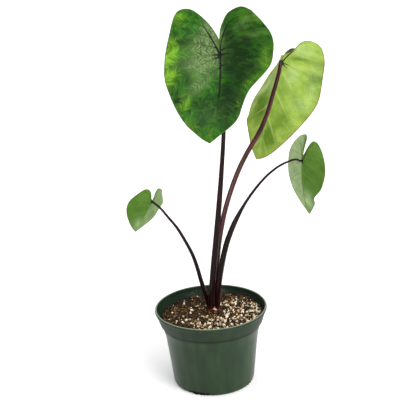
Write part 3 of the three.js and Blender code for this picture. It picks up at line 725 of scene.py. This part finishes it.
def make_soil_bed(material):
    angles = np.arange(SOIL_SIDES) * TURN / SOIL_SIDES
    # Peat has washed out into the drain slots, and thins out towards their ends.
    pitch = TURN / SLOTS["count"]
    off = (angles - math.radians(SLOTS["first"]) + pitch / 2) % pitch - pitch / 2
    washed = smooth((0.5 * SLOTS["width"] - 1.5 - np.abs(off) * POT_FOOT) / 1.5)
    foot = POT_FOOT - POT_WALL - SOIL_GAP
    spill = foot + washed * (WASHED_OUT + 1.2 * lumps(angles * 30, 0 * angles, 12))
    low = POT_FLOOR + SOIL_GAP - WASHED_DOWN * washed
    rings = [np.stack([r * np.cos(angles), r * np.sin(angles), z + 0 * angles], -1)
             for r, z in [(spill, low), (spill, low + WASHED_THICK * washed + 0.1), (foot + 0.2, 5),
                          (soil_edge(42), 42), (soil_edge(80), 80)]]
    rim = soil_edge(SOIL_LEVEL)
    for share in np.append(np.linspace(1, 0.03, SOIL_RINGS), 0.0):
        x, y = share * rim * np.cos(angles), share * rim * np.sin(angles)
        height = crumbled(x, y)
        if share == 1:
            grow = soil_edge(height) / rim
            x, y = x * grow, y * grow
        rings.append(np.stack([x, y, height], -1))
    points = np.concatenate([*rings, [[0, 0, POT_FLOOR + SOIL_GAP]]])
    faces = [*ring_faces(len(rings), SOIL_SIDES), *cap_faces(len(points) - 1, 0, SOIL_SIDES, False)]
    # Some crumbs of the surface are golden bark.
    tone = np.clip(lumps(points[:, 0] / 1.6, points[:, 1] / 1.6, 9) - 0.55, 0, 1)
    piece = place_piece("soil_bed", points, faces, ["soil"], [material], {"tone": tone})
    # The innermost ring is one point.
    body = bmesh.new()
    body.from_mesh(piece.data)
    bmesh.ops.remove_doubles(body, verts=body.verts, dist=1e-5)
    body.to_mesh(piece.data)
    body.free()


def round_grain(subdivisions):
    """Points and faces of one small ball."""
    body = bmesh.new()
    bmesh.ops.create_icosphere(body, subdivisions=subdivisions, radius=1)
    body.verts.ensure_lookup_table()
    points = np.array([v.co[:] for v in body.verts])
    faces = np.array([[v.index for v in f.verts] for f in body.faces])
    body.free()
    return points, faces


def scatter(name, material, count, seed, subdivisions, size, tones, crowd):
    """Grains strewn on the soil, sunk a little, thickest where crowd(x, y) is near 1. Sizes and
    tones lie between the two given ones."""
    random = np.random.default_rng(seed)
    ball, triangles = round_grain(subdivisions)
    reach = wall_radius(SOIL_LEVEL) - WALL_CLEAR
    points, faces, shades = [], [], []
    while len(points) < count:
        angle, radius = random.random() * TURN, reach * math.sqrt(random.random())
        x, y = radius * math.cos(angle), radius * math.sin(angle)
        chance, grain_size, tone = random.random(3)
        shape = random.normal(size=(3, 3))
        dents = random.normal(size=len(ball))
        if from_corm(x, y) <= CORM_CLEAR or chance > crowd(x, y):
            continue
        scale = size[0] + (size[1] - size[0]) * grain_size ** GRAIN_SMALL
        turn, _ = np.linalg.qr(shape)
        grain = ball * (1 + 0.3 * dents[:, None]) * [1, 0.75, GRAIN_FLATNESS]
        grain = grain @ turn.T * scale
        base = float(crumbled(np.array(x), np.array(y)))
        faces.append(triangles + len(points) * len(ball))
        points.append(grain + [x, y, base + scale * (1 - GRAIN_SUNK) * 0.6])
        shades.append(np.full(len(ball), tones[0] + (tones[1] - tones[0]) * tone))
    place_piece(name, np.concatenate(points), np.concatenate(faces), ["soil"], [material],
                {"tone": np.concatenate(shades)})


def everywhere(x, y):
    return 1


def front_and_right(x, y):
    """Thick at the front and the right, thin at the back left, in clumps of about 7 mm."""
    front = smooth((4 - y) / 34) * smooth((x + 60) / 55)
    right = smooth((x - 2) / 30) * smooth((52 - y) / 30)
    clump = float(lumps(np.array(x / 7), np.array(y / 7), 31))
    return (0.1 + 0.9 * max(front, 0.75 * right)) * (0.6 + 0.4 * clump)


# Corm and stalks


def make_corm(material):
    profile = rounded(CORM_PROFILE, 2)
    points, faces = lathe(profile.tolist(), CORM_SIDES, CORM_CENTRE)
    out = points[:, :2] - CORM_CENTRE
    angle = np.arctan2(out[:, 1], out[:, 0])
    swell = 0.97 + 0.03 * lumps(angle * 2.2, points[:, 2] / 9, 5)
    points[:, :2] = CORM_CENTRE + out * swell[:, None]
    place_piece("corm_neck", points, faces, ["corm"], [material],
                {"bare": bell(angle - BARE_AT, 0.4)})


def curve_between(start, end, leave, arrive):
    """Points from a start up to an end, leaving and arriving in given directions."""
    t = np.linspace(0, 1, CURVE_STEPS, endpoint=False)[:, None]
    return (start + leave * t + (3 * (end - start) - 2 * leave - arrive) * t ** 2
            + (2 * (start - end) + leave + arrive) * t ** 3)


def route(points, count):
    """Points evenly along a smooth curve through the given ones, as the stalk grew."""
    points = [np.array(p, float) for p in points]
    ends = [2 * points[0] - points[1], *points, 2 * points[-1] - points[-2]]
    dense = []
    for p0, p1, p2, p3 in zip(ends[:-3], ends[1:-2], ends[2:-1], ends[3:]):
        d0, d1, d2 = (max(np.linalg.norm(b - a) ** 0.5, 1e-4) for a, b in ((p0, p1), (p1, p2), (p2, p3)))
        t1 = ((p1 - p0) / d0 - (p2 - p0) / (d0 + d1) + (p2 - p1) / d1) * d1
        t2 = ((p2 - p1) / d1 - (p3 - p1) / (d1 + d2) + (p3 - p2) / d2) * d1
        dense.append(curve_between(p1, p2, t1, t2))
    dense = np.concatenate([*dense, [ends[-2]]])
    length = np.append(0, np.cumsum(np.linalg.norm(np.diff(dense, axis=0), axis=1)))
    at = np.linspace(0, length[-1], count)
    return np.stack([np.interp(at, length, dense[:, k]) for k in range(3)], -1), at


def make_stalk(name, stalk, material):
    """A round fleshy stalk. Its lower part is a sheath, wrapped round with a pale raised edge."""
    blade = BLADES[stalk["blade"]]
    up = blade_axes(blade)[0]
    junction = np.array(blade["junction"], float)
    points = [*stalk["points"], junction - up * stalk["reach"], junction - up * 0.1]
    centre, at = route(points, STALK_RINGS)
    share = at / at[-1]
    radius = np.interp(share, np.linspace(0, 1, len(stalk["radii"])), stalk["radii"])
    radius = np.convolve(np.pad(radius, 6, "edge"), np.ones(13) / 13, "valid")
    forward = unit(np.gradient(centre, axis=0))
    side = unit(SHEATH_SIDE - forward * (forward @ SHEATH_SIDE)[:, None])
    front = np.cross(forward, side)
    sides = STALK_SIDES
    angle = np.arange(sides) * TURN / sides
    sheath = smooth((SHEATH_SHARE - share) / 0.08) * smooth((share - 0.02) / 0.05)
    off = (angle + math.pi) % TURN - math.pi
    ridge = bell(off - 0.3, 0.16)
    hollow = bell(off, 0.18)
    stretch = 1 + sheath[:, None] * (0.1 * ridge - 0.12 * hollow)[None, :]
    flare = 1 + 0.22 * smooth((FLARE_HEIGHT - centre[:, 2]) / 14)
    ring = (radius * flare)[:, None] * stretch
    body = (centre[:, None] + side[:, None] * (ring * np.cos(angle))[..., None]
            + front[:, None] * (ring * np.sin(angle))[..., None])
    count = len(centre)
    points = np.concatenate([body.reshape(-1, 3), [centre[0], centre[-1]]])
    faces = [*ring_faces(count, sides), *cap_faces(count * sides, 0, sides, False),
             *cap_faces(count * sides + 1, (count - 1) * sides, sides, True)]
    foot = smooth((PINK_HEIGHT - points[:, 2] + 2 * lumps(points[:, 0] / 2, points[:, 1] / 2, 4)) / 5)
    edge = np.append((sheath[:, None] * ridge[None, :]).ravel(), [0, 0]) * 0.8
    neck = np.append(np.repeat(smooth((at - at[-1] + 22) / 12), sides), [0, 1])
    # Streaks run along the stalk: 25 mm long and about 1.5 mm wide.
    flat = np.stack([np.append(np.tile(np.cos(angle) * 2, count), [0, 0]),
                     np.append(np.tile(np.sin(angle) * 2, count), [0, 0]),
                     np.append(np.repeat(at / 25, sides), [0, at[-1] / 25])], -1)
    place_piece(name + "_skin", points, faces, [name], [material],
                {"foot": foot, "edge": edge, "neck": neck, "flat": flat})


# Blades


def blade_axes(blade):
    """Up from a blade's upper face, along it to its tip, and across it."""
    heading, tilt, turn = (math.radians(blade[key]) for key in ("facing", "tilt", "turn"))
    up = np.array([math.cos(tilt) * math.sin(heading), -math.cos(tilt) * math.cos(heading), math.sin(tilt)])
    hang = np.array([0, 0, -1.0])
    hang = unit(hang - up * (hang @ up))
    level = np.cross(up, hang)
    along = hang * math.cos(turn) + level * math.sin(turn)
    return up, along, np.cross(up, along)


def arc(angle, rate, length):
    """How far a line that starts at an angle and turns at a steady rate goes forward and up."""
    rate = np.where(np.abs(rate) < 1e-9, 1e-9, rate)
    end = angle + rate * length
    return (np.sin(end) - np.sin(angle)) / rate, (np.cos(angle) - np.cos(end)) / rate


def on_blade(blade, half, flat, lift):
    """From the flat drawing to the place in space, lifted off the blade."""
    up, forward, sideways = blade_axes(blade)
    across, along = flat[..., 0], flat[..., 1]
    lobe, middle, tip = half["fold"]
    slope = np.where(along > 0, middle + (tip - middle) * smooth(along / blade["length"]),
                     middle + (lobe - middle) * smooth(-along / blade["lobe"]))
    slope = np.radians(slope)
    curl = math.radians(half["curl"])
    out, rise = arc(slope, curl, across)
    normal = slope + curl * across
    height = rise + lift * np.cos(normal)
    bend = np.radians(np.where(along > 0, blade["bend"][0], blade["bend"][1]))
    advance, sag = arc(0, bend, along)
    drift = np.where(along > 0, blade["drift"] * (along / blade["length"]) ** 2, 0)
    return (np.array(blade["junction"], float)
            + sideways * (half["side"] * (out - lift * np.sin(normal)) + drift)[..., None]
            + forward * (advance + height * np.sin(bend * along))[..., None]
            + up * (-sag + height * np.cos(bend * along))[..., None])


def margin_line(half):
    """The outline as a smooth line through its points, with the share of its length at each."""
    points = np.array(half["outline"], float)
    padded = np.concatenate([points[:1], points, points[-1:]])
    dense = []
    for k in range(len(points) - 1):
        p0, p1, p2, p3 = padded[k:k + 4]
        dense.append(curve_between(p1, p2, (p2 - p0) / 2, (p3 - p1) / 2))
    return by_length(np.concatenate([*dense, points[-1:]]))


def by_length(line):
    """A line with the share of its length at each point, and its length."""
    length = np.append(0, np.cumsum(np.linalg.norm(np.diff(line, axis=0), axis=1)))
    return line, length / length[-1], length[-1]


def along_line(line, share):
    """Points at shares of a line's length."""
    points, shares, _ = line
    return np.stack([np.interp(share, shares, points[:, 0]), np.interp(share, shares, points[:, 1])], -1)


def lobe_line(half, margin):
    """The lobe's rib: from the junction in a bow, and on to the margin."""
    bow, end = (np.array(p, float) for p in half["rib"])
    t = np.linspace(0, 1, 40)[:, None]
    curve = 2 * t * (1 - t) * bow + t * t * end
    return by_length(np.concatenate([curve, along_line(margin, np.array([half["lobe_share"]]))]))


def rib_points(blade, lobe, places):
    """Points on the ribs: the lobe's for places under 0, the midrib for places over 0."""
    back = along_line(lobe, np.clip(-places, 0, 1))
    ahead = np.stack([0 * places, np.clip(places, 0, 1) * blade["length"]], -1)
    return np.where(places[:, None] < 0, back, ahead)


def vein_lines(blade, half, margin, lobe):
    """Each side vein as a bowed line from a rib to the margin."""
    lines = []
    for place, share in half["veins"]:
        start = rib_points(blade, lobe, np.array([place]))[0]
        end = along_line(margin, np.array([share]))[0]
        t = np.linspace(0, 1, 24)[:, None]
        line = start + (end - start) * t
        line[:, 1] -= blade["bow"] * np.linalg.norm(end - start) * 4 * t[:, 0] * (1 - t[:, 0])
        lines.append(line)
    return lines


def nearest(points, line):
    """Distance from each point to a line, and how far along the line that is."""
    start, step = line[:-1], np.diff(line, axis=0)
    size = np.maximum((step ** 2).sum(1), 1e-12)
    gap = points[:, None] - start
    share = np.clip((gap * step).sum(-1) / size, 0, 1)
    miss = np.linalg.norm(gap - share[..., None] * step, axis=-1)
    best = miss.argmin(1)
    rows = np.arange(len(points))
    length = np.append(0, np.cumsum(np.sqrt(size)))
    return miss[rows, best], length[best] + share[rows, best] * np.sqrt(size[best])


def grid_faces(rows, columns, flip):
    """Four-sided faces of a grid of points."""
    at = np.arange(rows * columns).reshape(rows, columns)
    a, b, c, d = at[:-1, :-1], at[1:, :-1], at[1:, 1:], at[:-1, 1:]
    quads = np.stack([a, b, c, d], -1).reshape(-1, 4)
    return quads[:, ::-1] if flip else quads


def half_sheet(blade, half, columns, strip_columns, rows):
    """Half a blade as points of the flat drawing in two grids: the broad part and the strip
    between the lobe's rib and the sinus."""
    margin = margin_line(half)
    lobe = lobe_line(half, margin)
    patches = []
    for strip in (False, True):
        low, high = (-1, 0) if strip else (-1, 1)
        places = np.linspace(low, high, rows // 2 + 1 if strip else rows + 1)
        if strip:
            share = -places * half["lobe_share"]
        else:
            reach = np.where(places < 0, JUNCTION_SHARE - half["lobe_share"], 1 - JUNCTION_SHARE)
            share = JUNCTION_SHARE + reach * places
        across = np.linspace(0, 1, strip_columns if strip else columns) ** 1.15
        start = rib_points(blade, lobe, places)
        end = along_line(margin, share)
        flat = start[:, None] + (end - start)[:, None] * across[None, :, None]
        span = np.linalg.norm(end - start, axis=1)
        up = 0 * flat[..., 0]
        if strip:
            up = half["strip"] * np.sin(-math.pi * places)[:, None] * across[None]
        else:
            bow = ROW_BOW * span * np.sin(math.pi * places)
            flat[..., 1] -= bow[:, None] * 4 * (across * (1 - across))[None]
        faces = grid_faces(*flat.shape[:2], (half["side"] < 0) != strip)
        patches.append((flat.reshape(-1, 2), up.ravel(), faces))
    return patches, margin, lobe


def found_on(blade, half, flat, margin, lobe):
    """What lies where on a half: distances to the ribs, the side veins and the margin, in mm."""
    midrib = np.array([[0, 0], [0, blade["length"]]], float)
    to_mid, _ = nearest(flat, midrib)
    to_lobe, lobe_at = nearest(flat, lobe[0])
    lines = [nearest(flat, line) for line in vein_lines(blade, half, margin, lobe)]
    gaps = np.array([gap for gap, _ in lines])
    ahead = np.array([at for _, at in lines])
    best, rows = gaps.argmin(0), np.arange(len(flat))
    to_edge, _ = nearest(flat, margin[0][::3])
    to_vein, vein_at = gaps[best, rows], ahead[best, rows]
    # The colour is streaked along the side veins, or where it is combed, along the fine ones.
    along, across = (1.1 * to_vein, 0.22 * vein_at)
    if half.get("combed"):
        along, across = (vein_at - BARB_SLANT * to_vein, 0.3 * to_vein)
    return {"x": flat[:, 0] * half["side"], "y": flat[:, 1], "nearest": best, "streak_x": along,
            "streak_y": across, "to_mid": to_mid, "to_lobe": to_lobe, "lobe_at": lobe_at,
            "to_vein": to_vein, "vein_at": vein_at, "to_edge": to_edge, "away": np.linalg.norm(flat, axis=1)}


def drawn_on(blade, found):
    """The ribs, side veins and feathered fine veins, each 0 to 1."""
    scale = blade["rib_scale"]
    mid = bell(found["to_mid"], 1.4 * scale) * smooth((blade["length"] - found["y"]) / 12)
    lobe = bell(found["to_lobe"], 1.2 * scale) * (1 - 0.7 * np.clip(found["lobe_at"] / 60, 0, 1))
    vein = bell(found["to_vein"], 0.9 * scale) * smooth(found["to_edge"] / 6)
    vein = vein * (1 - 0.6 * smooth(found["vein_at"] / (0.5 * blade["length"])))
    # The fine veins leave each side vein on both sides, slanting to the margin.
    phase = (found["vein_at"] - BARB_SLANT * found["to_vein"]) / (FEATHER * (0.4 + 0.6 * scale))
    ragged = lumps(found["x"] / 5, found["y"] / 5, 21)
    comb = np.cos(TURN * (phase + 0.28 * ragged))
    feather = np.maximum(0, comb) ** 2
    # The dark band along each side vein widens outwards and has a feathered edge.
    reach = (1.2 + 0.085 * found["vein_at"]) * (1 + 0.5 * comb)
    band = bell(found["to_vein"], reach) * smooth((found["vein_at"] - 18) / 30)
    feather = feather * smooth(found["to_edge"] / 10) * smooth((found["to_vein"] - 0.5) / 1.5)
    feather = feather * smooth(np.minimum(found["to_mid"], found["to_lobe"]) / 5)
    uneven = 0.55 + 0.45 * lumps(found["x"] / 9, found["y"] / 9, 22)
    return {"mid": mid, "lobe": lobe, "vein": vein, "band": band, "feather": feather * uneven}


def puffed(blade, found):
    """How far the blade swells between its veins."""
    swell = (1 - bell(found["to_vein"], 7)) * (1 - bell(np.minimum(found["to_mid"], found["to_lobe"]), 8))
    return blade["quilt"] * swell * smooth(found["to_edge"] / 10)


def dabbed(blade, kind, found):
    """Soft dabs of a colour, where the blade has them."""
    total = 0 * found["x"]
    for across, along, wide, tall, strength, *slant in blade["dabs"].get(kind, []):
        cosine, sine = math.cos(math.radians(sum(slant))), math.sin(math.radians(sum(slant)))
        out, down = found["x"] - across, found["y"] - along
        total += strength * np.exp(-((out * cosine + down * sine) / wide) ** 2
                                   - ((down * cosine - out * sine) / tall) ** 2)
    return np.clip(total, 0, 1)


def marks_of(blade, face, found, drawn):
    """The marks that a face's colours follow."""
    length, away = blade["length"], found["away"]
    # The pale grey-green dabs and the paler half are painted sheen.
    bright, deep, painted_sheen = (dabbed(blade, kind, found) for kind in ("bright", "deep", "painted_sheen"))
    pale_side, paleness = blade.get("painted_sheen_half", (0, 0))
    painted_sheen = np.maximum(painted_sheen, paleness * smooth(found["x"] * pale_side / 2.5))
    start = bell(away, 0.12 * length)
    if face == "upper":
        mid = drawn["mid"] * smooth((0.58 * length - away) / (0.2 * length))
        lobe = drawn["lobe"] * smooth((0.6 * length - away) / (0.3 * length))
        stubs = drawn["vein"] * (start + 0.5 * bell(found["to_mid"], 4) * (found["y"] < 0.5 * length))
        rib = 1.7 * mid + 1.6 * lobe + 1.4 * stubs + 1.2 * bell(away, 3)
        to_tip = smooth((0.8 * length - found["y"]) / (0.35 * length))
        vein = (0.7 * drawn["vein"] + 0.6 * drawn["mid"]) * to_tip
        # Fine veins and net veins are drawn most where the sheen is painted.
        fine = 1.5 * drawn["feather"] * (0.3 + painted_sheen) * (0.4 + 0.6 * bell(found["to_vein"], 6))
        net = painted_sheen
        deep = deep + 0.35 * drawn["band"]
    else:
        faded = 1 - 0.6 * smooth((found["vein_at"] - 12) / (0.3 * length))
        close = smooth((0.12 * length - away) / (0.08 * length))
        near = smooth((0.36 * length - away) / (0.28 * length))
        rib = (drawn["mid"] * close + 1.1 * drawn["lobe"] * near
               + 1.2 * drawn["vein"] * bell(away, 0.1 * length))
        bold = np.isin(found["nearest"], blade.get("bold", range(12)))
        pale_mid = drawn["mid"] * (1 - 0.7 * smooth(found["y"] / (0.4 * length)))
        vein = 0.8 * np.maximum(drawn["vein"] * faded * (0.35 + 0.65 * bold),
                                np.maximum(pale_mid, drawn["lobe"]))
        fine = 0.35 * drawn["feather"]
        net = 0.1 + 0 * away
        deep = deep + blade.get("banded", 0) * drawn["band"]
    line = bell(found["to_edge"], 1)
    line = np.maximum(line, 0.7 * bell(found["x"], 4) * smooth((-8 - found["y"]) / 8))
    rib = smooth((rib - 0.3) / 0.6)
    marks = {"bright": bright, "deep": deep, "painted_sheen": painted_sheen, "net": net, "fine": fine,
             "vein": vein, "rib": rib, "edge": line}
    return {key: np.clip(mark, 0, 1) for key, mark in marks.items()}


def blade_sheets(blade, rows, columns):
    """A blade's two faces as sheets: which face, what lies where, the points in space and the faces
    between them. The face that shows in front has more columns of points."""
    height, wave = blade["wave"]
    sheets = []
    start = 0
    for face in ("upper", "under"):
        across = columns if blade["shown"] == face else columns // 2
        for half in blade["halves"]:
            patches, margin, lobe = half_sheet(blade, half, across, columns // 4, rows)
            for flat, up, grid in patches:
                found = found_on(blade, half, flat, margin, lobe)
                ripple = np.sin(TURN * flat[:, 1] / wave + half["side"])
                lift = height * (flat[:, 0] / blade["length"]) ** 2 * ripple + puffed(blade, found) + up
                sheets.append((face, found, on_blade(blade, half, flat, lift), grid + start))
                start += len(flat)
    return sheets


def whole_triangles(sheets, face, index, place):
    """The triangles of one face that haven't shrunk to nothing, and which way it faces at each point."""
    quads = index[np.concatenate([sheet[3] for sheet in sheets if sheet[0] == face])]
    both = np.concatenate([quads[:, [0, 1, 2]], quads[:, [0, 2, 3]]])
    corners = both[(both[:, 0] != both[:, 1]) & (both[:, 1] != both[:, 2]) & (both[:, 2] != both[:, 0])]
    a, b, c = (place[corners[:, k]] for k in range(3))
    lean = np.zeros((len(place), 3))
    for k in range(3):
        np.add.at(lean, corners[:, k], np.cross(b - a, c - a))
    return corners, unit(lean)


def skin_heights(blade, found, drawn):
    """How far each face stands off the blade's middle: half its thickness, and its ribs and veins."""
    length, scale = blade["length"], blade["rib_scale"]
    skin = BLADE_THICKNESS / 2 * (0.3 + 0.7 * smooth(found["to_edge"] / 1.2))
    near = smooth((0.58 * length - found["away"]) / (0.25 * length))
    taper = 1 - 0.8 * np.clip(found["y"] / length, 0, 1)
    above = skin + scale * (near * (0.6 * drawn["mid"] + 0.4 * drawn["lobe"]) - 0.1 * drawn["vein"]
                            + 0.3 * drawn["feather"])
    below = skin + scale * (1.2 * taper * drawn["mid"] + 0.8 * drawn["lobe"] + 0.4 * drawn["vein"]
                            + 0.08 * drawn["feather"])
    return above[:, None], below[:, None]


def make_leaf(name, upper_skin, under_skin, rows, columns):
    """A blade of two faces, each with its own skin, closed round the margin."""
    blade = BLADES[name]
    sheets = blade_sheets(blade, rows, columns)
    # Points that lie together become one point, and both faces share their points at the margin.
    place = np.concatenate([sheet[2] for sheet in sheets])
    _, first, index = np.unique(np.floor(place * 1000 + 0.37).astype(np.int64), axis=0,
                                return_index=True, return_inverse=True)
    index = index.ravel()
    place = place[first]
    found = {key: np.concatenate([sheet[1][key] for sheet in sheets])[first] for key in sheets[0][1]}
    drawn = drawn_on(blade, found)
    total = len(place)
    top, top_way = whole_triangles(sheets, "upper", index, place)
    bottom, bottom_way = whole_triangles(sheets, "under", index, place)
    above, below = skin_heights(blade, found, drawn)
    points = np.concatenate([place + top_way * above, place - bottom_way * below])
    # An edge of the upper face that no second triangle has is on the margin, and is closed with a rim.
    edges = np.concatenate([top[:, [0, 1]], top[:, [1, 2]], top[:, [2, 0]]])
    border = edges[~np.isin(edges[:, 0] * total + edges[:, 1], edges[:, 1] * total + edges[:, 0])]
    rim = np.stack([border[:, 0], border[:, 0] + total, border[:, 1] + total, border[:, 1]], -1)
    faces = [*top.tolist(), *(bottom[:, ::-1] + total).tolist(), *rim.tolist()]
    which = [0] * len(top) + [1] * (len(bottom) + len(rim))
    # Each face leaves out the points that only the other one uses.
    used = np.zeros(2 * total, bool)
    used[np.concatenate([np.ravel(face) for face in faces])] = True
    order = np.cumsum(used) - 1
    faces = [order[face].tolist() for face in faces]
    upper, under = (marks_of(blade, face, found, drawn) for face in ("upper", "under"))
    marks = {key: np.concatenate([upper[key], under[key]])[used] for key in upper}
    x, y = found["x"], found["y"]
    marks["flat"] = np.tile(np.stack([x, y, 0 * x], -1), (2, 1))[used]
    # Streaks are bent unevenly, and differ from one side vein to the next.
    warp = 3 * lumps(x / 8, y / 8, 23) + 1.2 * lumps(x / 3, y / 3, 24)
    barb = [found["streak_x"] + warp, found["streak_y"], 9.0 * found["nearest"] + 40 * (x > 0)]
    marks["barb"] = np.tile(np.stack(barb, -1), (2, 1))[used]
    place_piece(name + "_blade", points[used], faces, [name], [upper_skin, under_skin], marks, which)


# Table, light and camera


def make_table():
    mesh = bpy.data.meshes.new("table_top")
    reach = TABLE_REACH
    mesh.from_pydata([(-reach, -reach, 0), (reach, -reach, 0), (reach, reach, 0), (-reach, reach, 0)],
                     [], [(0, 1, 2, 3)])
    table = bpy.data.objects.new("table_top", mesh)
    bpy.context.scene.collection.objects.link(table)
    material, _, shader = new_material("white paint", 0.7, 1.5)
    shader.inputs["Base Color"].default_value = linear("#fbfbfb")
    mesh.materials.append(material)


def add_light(name, kind, direction):
    """A light that shines along a direction, and the object that holds it."""
    light = bpy.data.lights.new(name, kind)
    holder = bpy.data.objects.new(name, light)
    holder.rotation_mode = "QUATERNION"
    holder.rotation_quaternion = Matrix(look(direction)).to_quaternion()
    bpy.context.scene.collection.objects.link(holder)
    return light, holder


def make_light():
    """A diffuser overhead, a low white sweep, the dim room between, a broad lamp, and a strip that
    only glosses what it shines on."""
    world = bpy.data.worlds.new("studio")
    world.use_nodes = True
    tree = world.node_tree
    background = tree.nodes["Background"]
    towards = node(tree, "ShaderNodeTexCoord").outputs["Generated"]
    # Height is the sine of the angle above the horizon.
    height = node(tree, "ShaderNodeSeparateXYZ", {"Vector": towards}).outputs["Z"]
    above = node(tree, "ShaderNodeMapRange", {"Value": height, "From Min": 0.35, "From Max": 0.85,
                                              "To Min": ROOM_LIGHT, "To Max": OVERHEAD_LIGHT}, **EASED)
    sweep = node(tree, "ShaderNodeMapRange", {"Value": height, "From Min": 0.12, "From Max": 0.24,
                                              "To Min": SWEEP_LIGHT, "To Max": 0.0}, **EASED)
    glow = node(tree, "ShaderNodeMath", {0: above.outputs["Result"], 1: sweep.outputs["Result"]},
                operation="MAXIMUM").outputs["Value"]
    background.inputs["Color"].default_value = linear("#ffffff")
    tree.links.new(glow, background.inputs["Strength"])
    bpy.context.scene.world = world
    lamp, _ = add_light("softbox", "SUN", -np.array(LAMP_TOWARDS))
    lamp.energy = LAMP_LIGHT
    lamp.angle = math.radians(LAMP_WIDTH)
    panel, strip = add_light("strip_panel", "AREA", np.array(STRIP_TARGET) - STRIP_AT)
    panel.shape = "RECTANGLE"
    panel.size, panel.size_y = STRIP_SIZE
    panel.energy = STRIP_LIGHT
    strip.location = STRIP_AT
    strip.visible_diffuse = False


def look(direction):
    """Rotation rows to columns for something whose -Z looks along a direction."""
    back = unit(-np.asarray(direction, float))
    right = unit(np.cross([0, 0, 1], back))
    return np.stack([right, np.cross(back, right), back], -1).tolist()


def make_camera():
    """The photograph's camera: 1.1 m in front, 0.59 m up, looking down 17.5 degrees."""
    pitch, yaw, roll = (math.radians(angle) for angle in (CAMERA_PITCH, CAMERA_YAW, CAMERA_ROLL))
    forward = np.array([math.sin(yaw) * math.cos(pitch), math.cos(yaw) * math.cos(pitch), -math.sin(pitch)])
    right = np.array([math.cos(yaw), -math.sin(yaw), 0])
    down = np.cross(forward, right)
    rolled_right = math.cos(roll) * right + math.sin(roll) * down
    rolled_down = -math.sin(roll) * right + math.cos(roll) * down
    data = bpy.data.cameras.new("camera")
    data.sensor_width = SENSOR_WIDTH
    data.lens = FOCAL_PIXELS / PHOTO_PIXELS * SENSOR_WIDTH
    camera = bpy.data.objects.new("camera", data)
    turn = Matrix(np.stack([rolled_right, -rolled_down, -forward], -1).tolist()).to_4x4()
    camera.matrix_world = Matrix.Translation(CAMERA_AT) @ turn
    bpy.context.scene.collection.objects.link(camera)
    bpy.context.scene.camera = camera


make_camera()
make_light()
make_table()

peat = damp_peat()
make_pot(moulded_polyethylene())
make_soil_bed(peat)
scatter("soil_crumbs", peat, count=2400, seed=11, subdivisions=1, size=(0.45, 1.7), tones=(0.0, 0.5),
        crowd=everywhere)
scatter("perlite", expanded_perlite(), count=780, seed=3, subdivisions=2, size=(0.35, 2.4), tones=(0.0, 1.0),
        crowd=front_and_right)
make_corm(corm_skin())

dark_stalk = stalk_skin("burgundy stalk skin", "#0e0505", "#2a1211", 0.15, 0.26)
red_stalk = stalk_skin("red stalk skin", "#250a0c", "#57211f", 0.38, 0.22)
for stalk_name, stalk in STALKS.items():
    make_stalk(stalk_name, stalk, red_stalk if stalk["slot"] == "stalk_red" else dark_stalk)

# Each skin's pale grey-green sheen colour is painted sheen.
upper_skin = leaf_skin("waxy leaf upper face", {
    "dark": "#1b470a", "light": "#306e12", "bright": "#76a822", "deep": "#092a02", "painted_sheen": "#728a54",
    "fine": "#092404", "vein": "#103008", "rib": "#030203", "edge": "#3f5c14"}, 0.34, 0.5, 1.8)
front_under = leaf_skin("pale leaf underside", {
    "dark": "#648a48", "light": "#7c9e58", "bright": "#98b45e", "deep": "#5e7e44", "painted_sheen": "#86a06a",
    "fine": "#6e9050", "vein": "#9cb276", "rib": "#40202a", "edge": "#5a4a28"}, 0.5, 0.3, 0.5)
# This underside's bright yellow-green is partly painted light shining through the blade from behind.
bright_under = leaf_skin("sunlit leaf underside", {
    "dark": "#759434", "light": "#96ae4a", "bright": "#aac058", "deep": "#4e7014", "painted_sheen": "#a6bc82",
    "fine": "#76922e", "vein": "#a4b868", "rib": "#1c080e", "edge": "#5c2416"}, 0.45, 0.3, 0.5)
small_under = leaf_skin("grey-green leaf underside", {
    "dark": "#3a5a16", "light": "#486a22", "bright": "#5c8030", "deep": "#2e4c12", "painted_sheen": "#acc18e",
    "fine": "#42681c", "vein": "#5a7a32", "rib": "#160a0c", "edge": "#46601e"}, 0.45, 0.25, 0.4)
small_upper = leaf_skin("young leaf upper face", {
    "dark": "#2c6018", "light": "#3f7a20", "bright": "#5c9628", "deep": "#1f4810", "painted_sheen": "#6c8450",
    "fine": "#275818", "vein": "#1f4614", "rib": "#120a0c", "edge": "#4a5a20"}, 0.36, 0.35, 0.9)
make_leaf("leaf_front", upper_skin, front_under, 230, 96)
make_leaf("leaf_right", upper_skin, bright_under, 230, 96)
make_leaf("leaf_small_right", small_upper, small_under, 130, 48)
make_leaf("leaf_small_left", small_upper, small_under, 130, 44)

bpy.context.scene.view_settings.view_transform = "Standard"
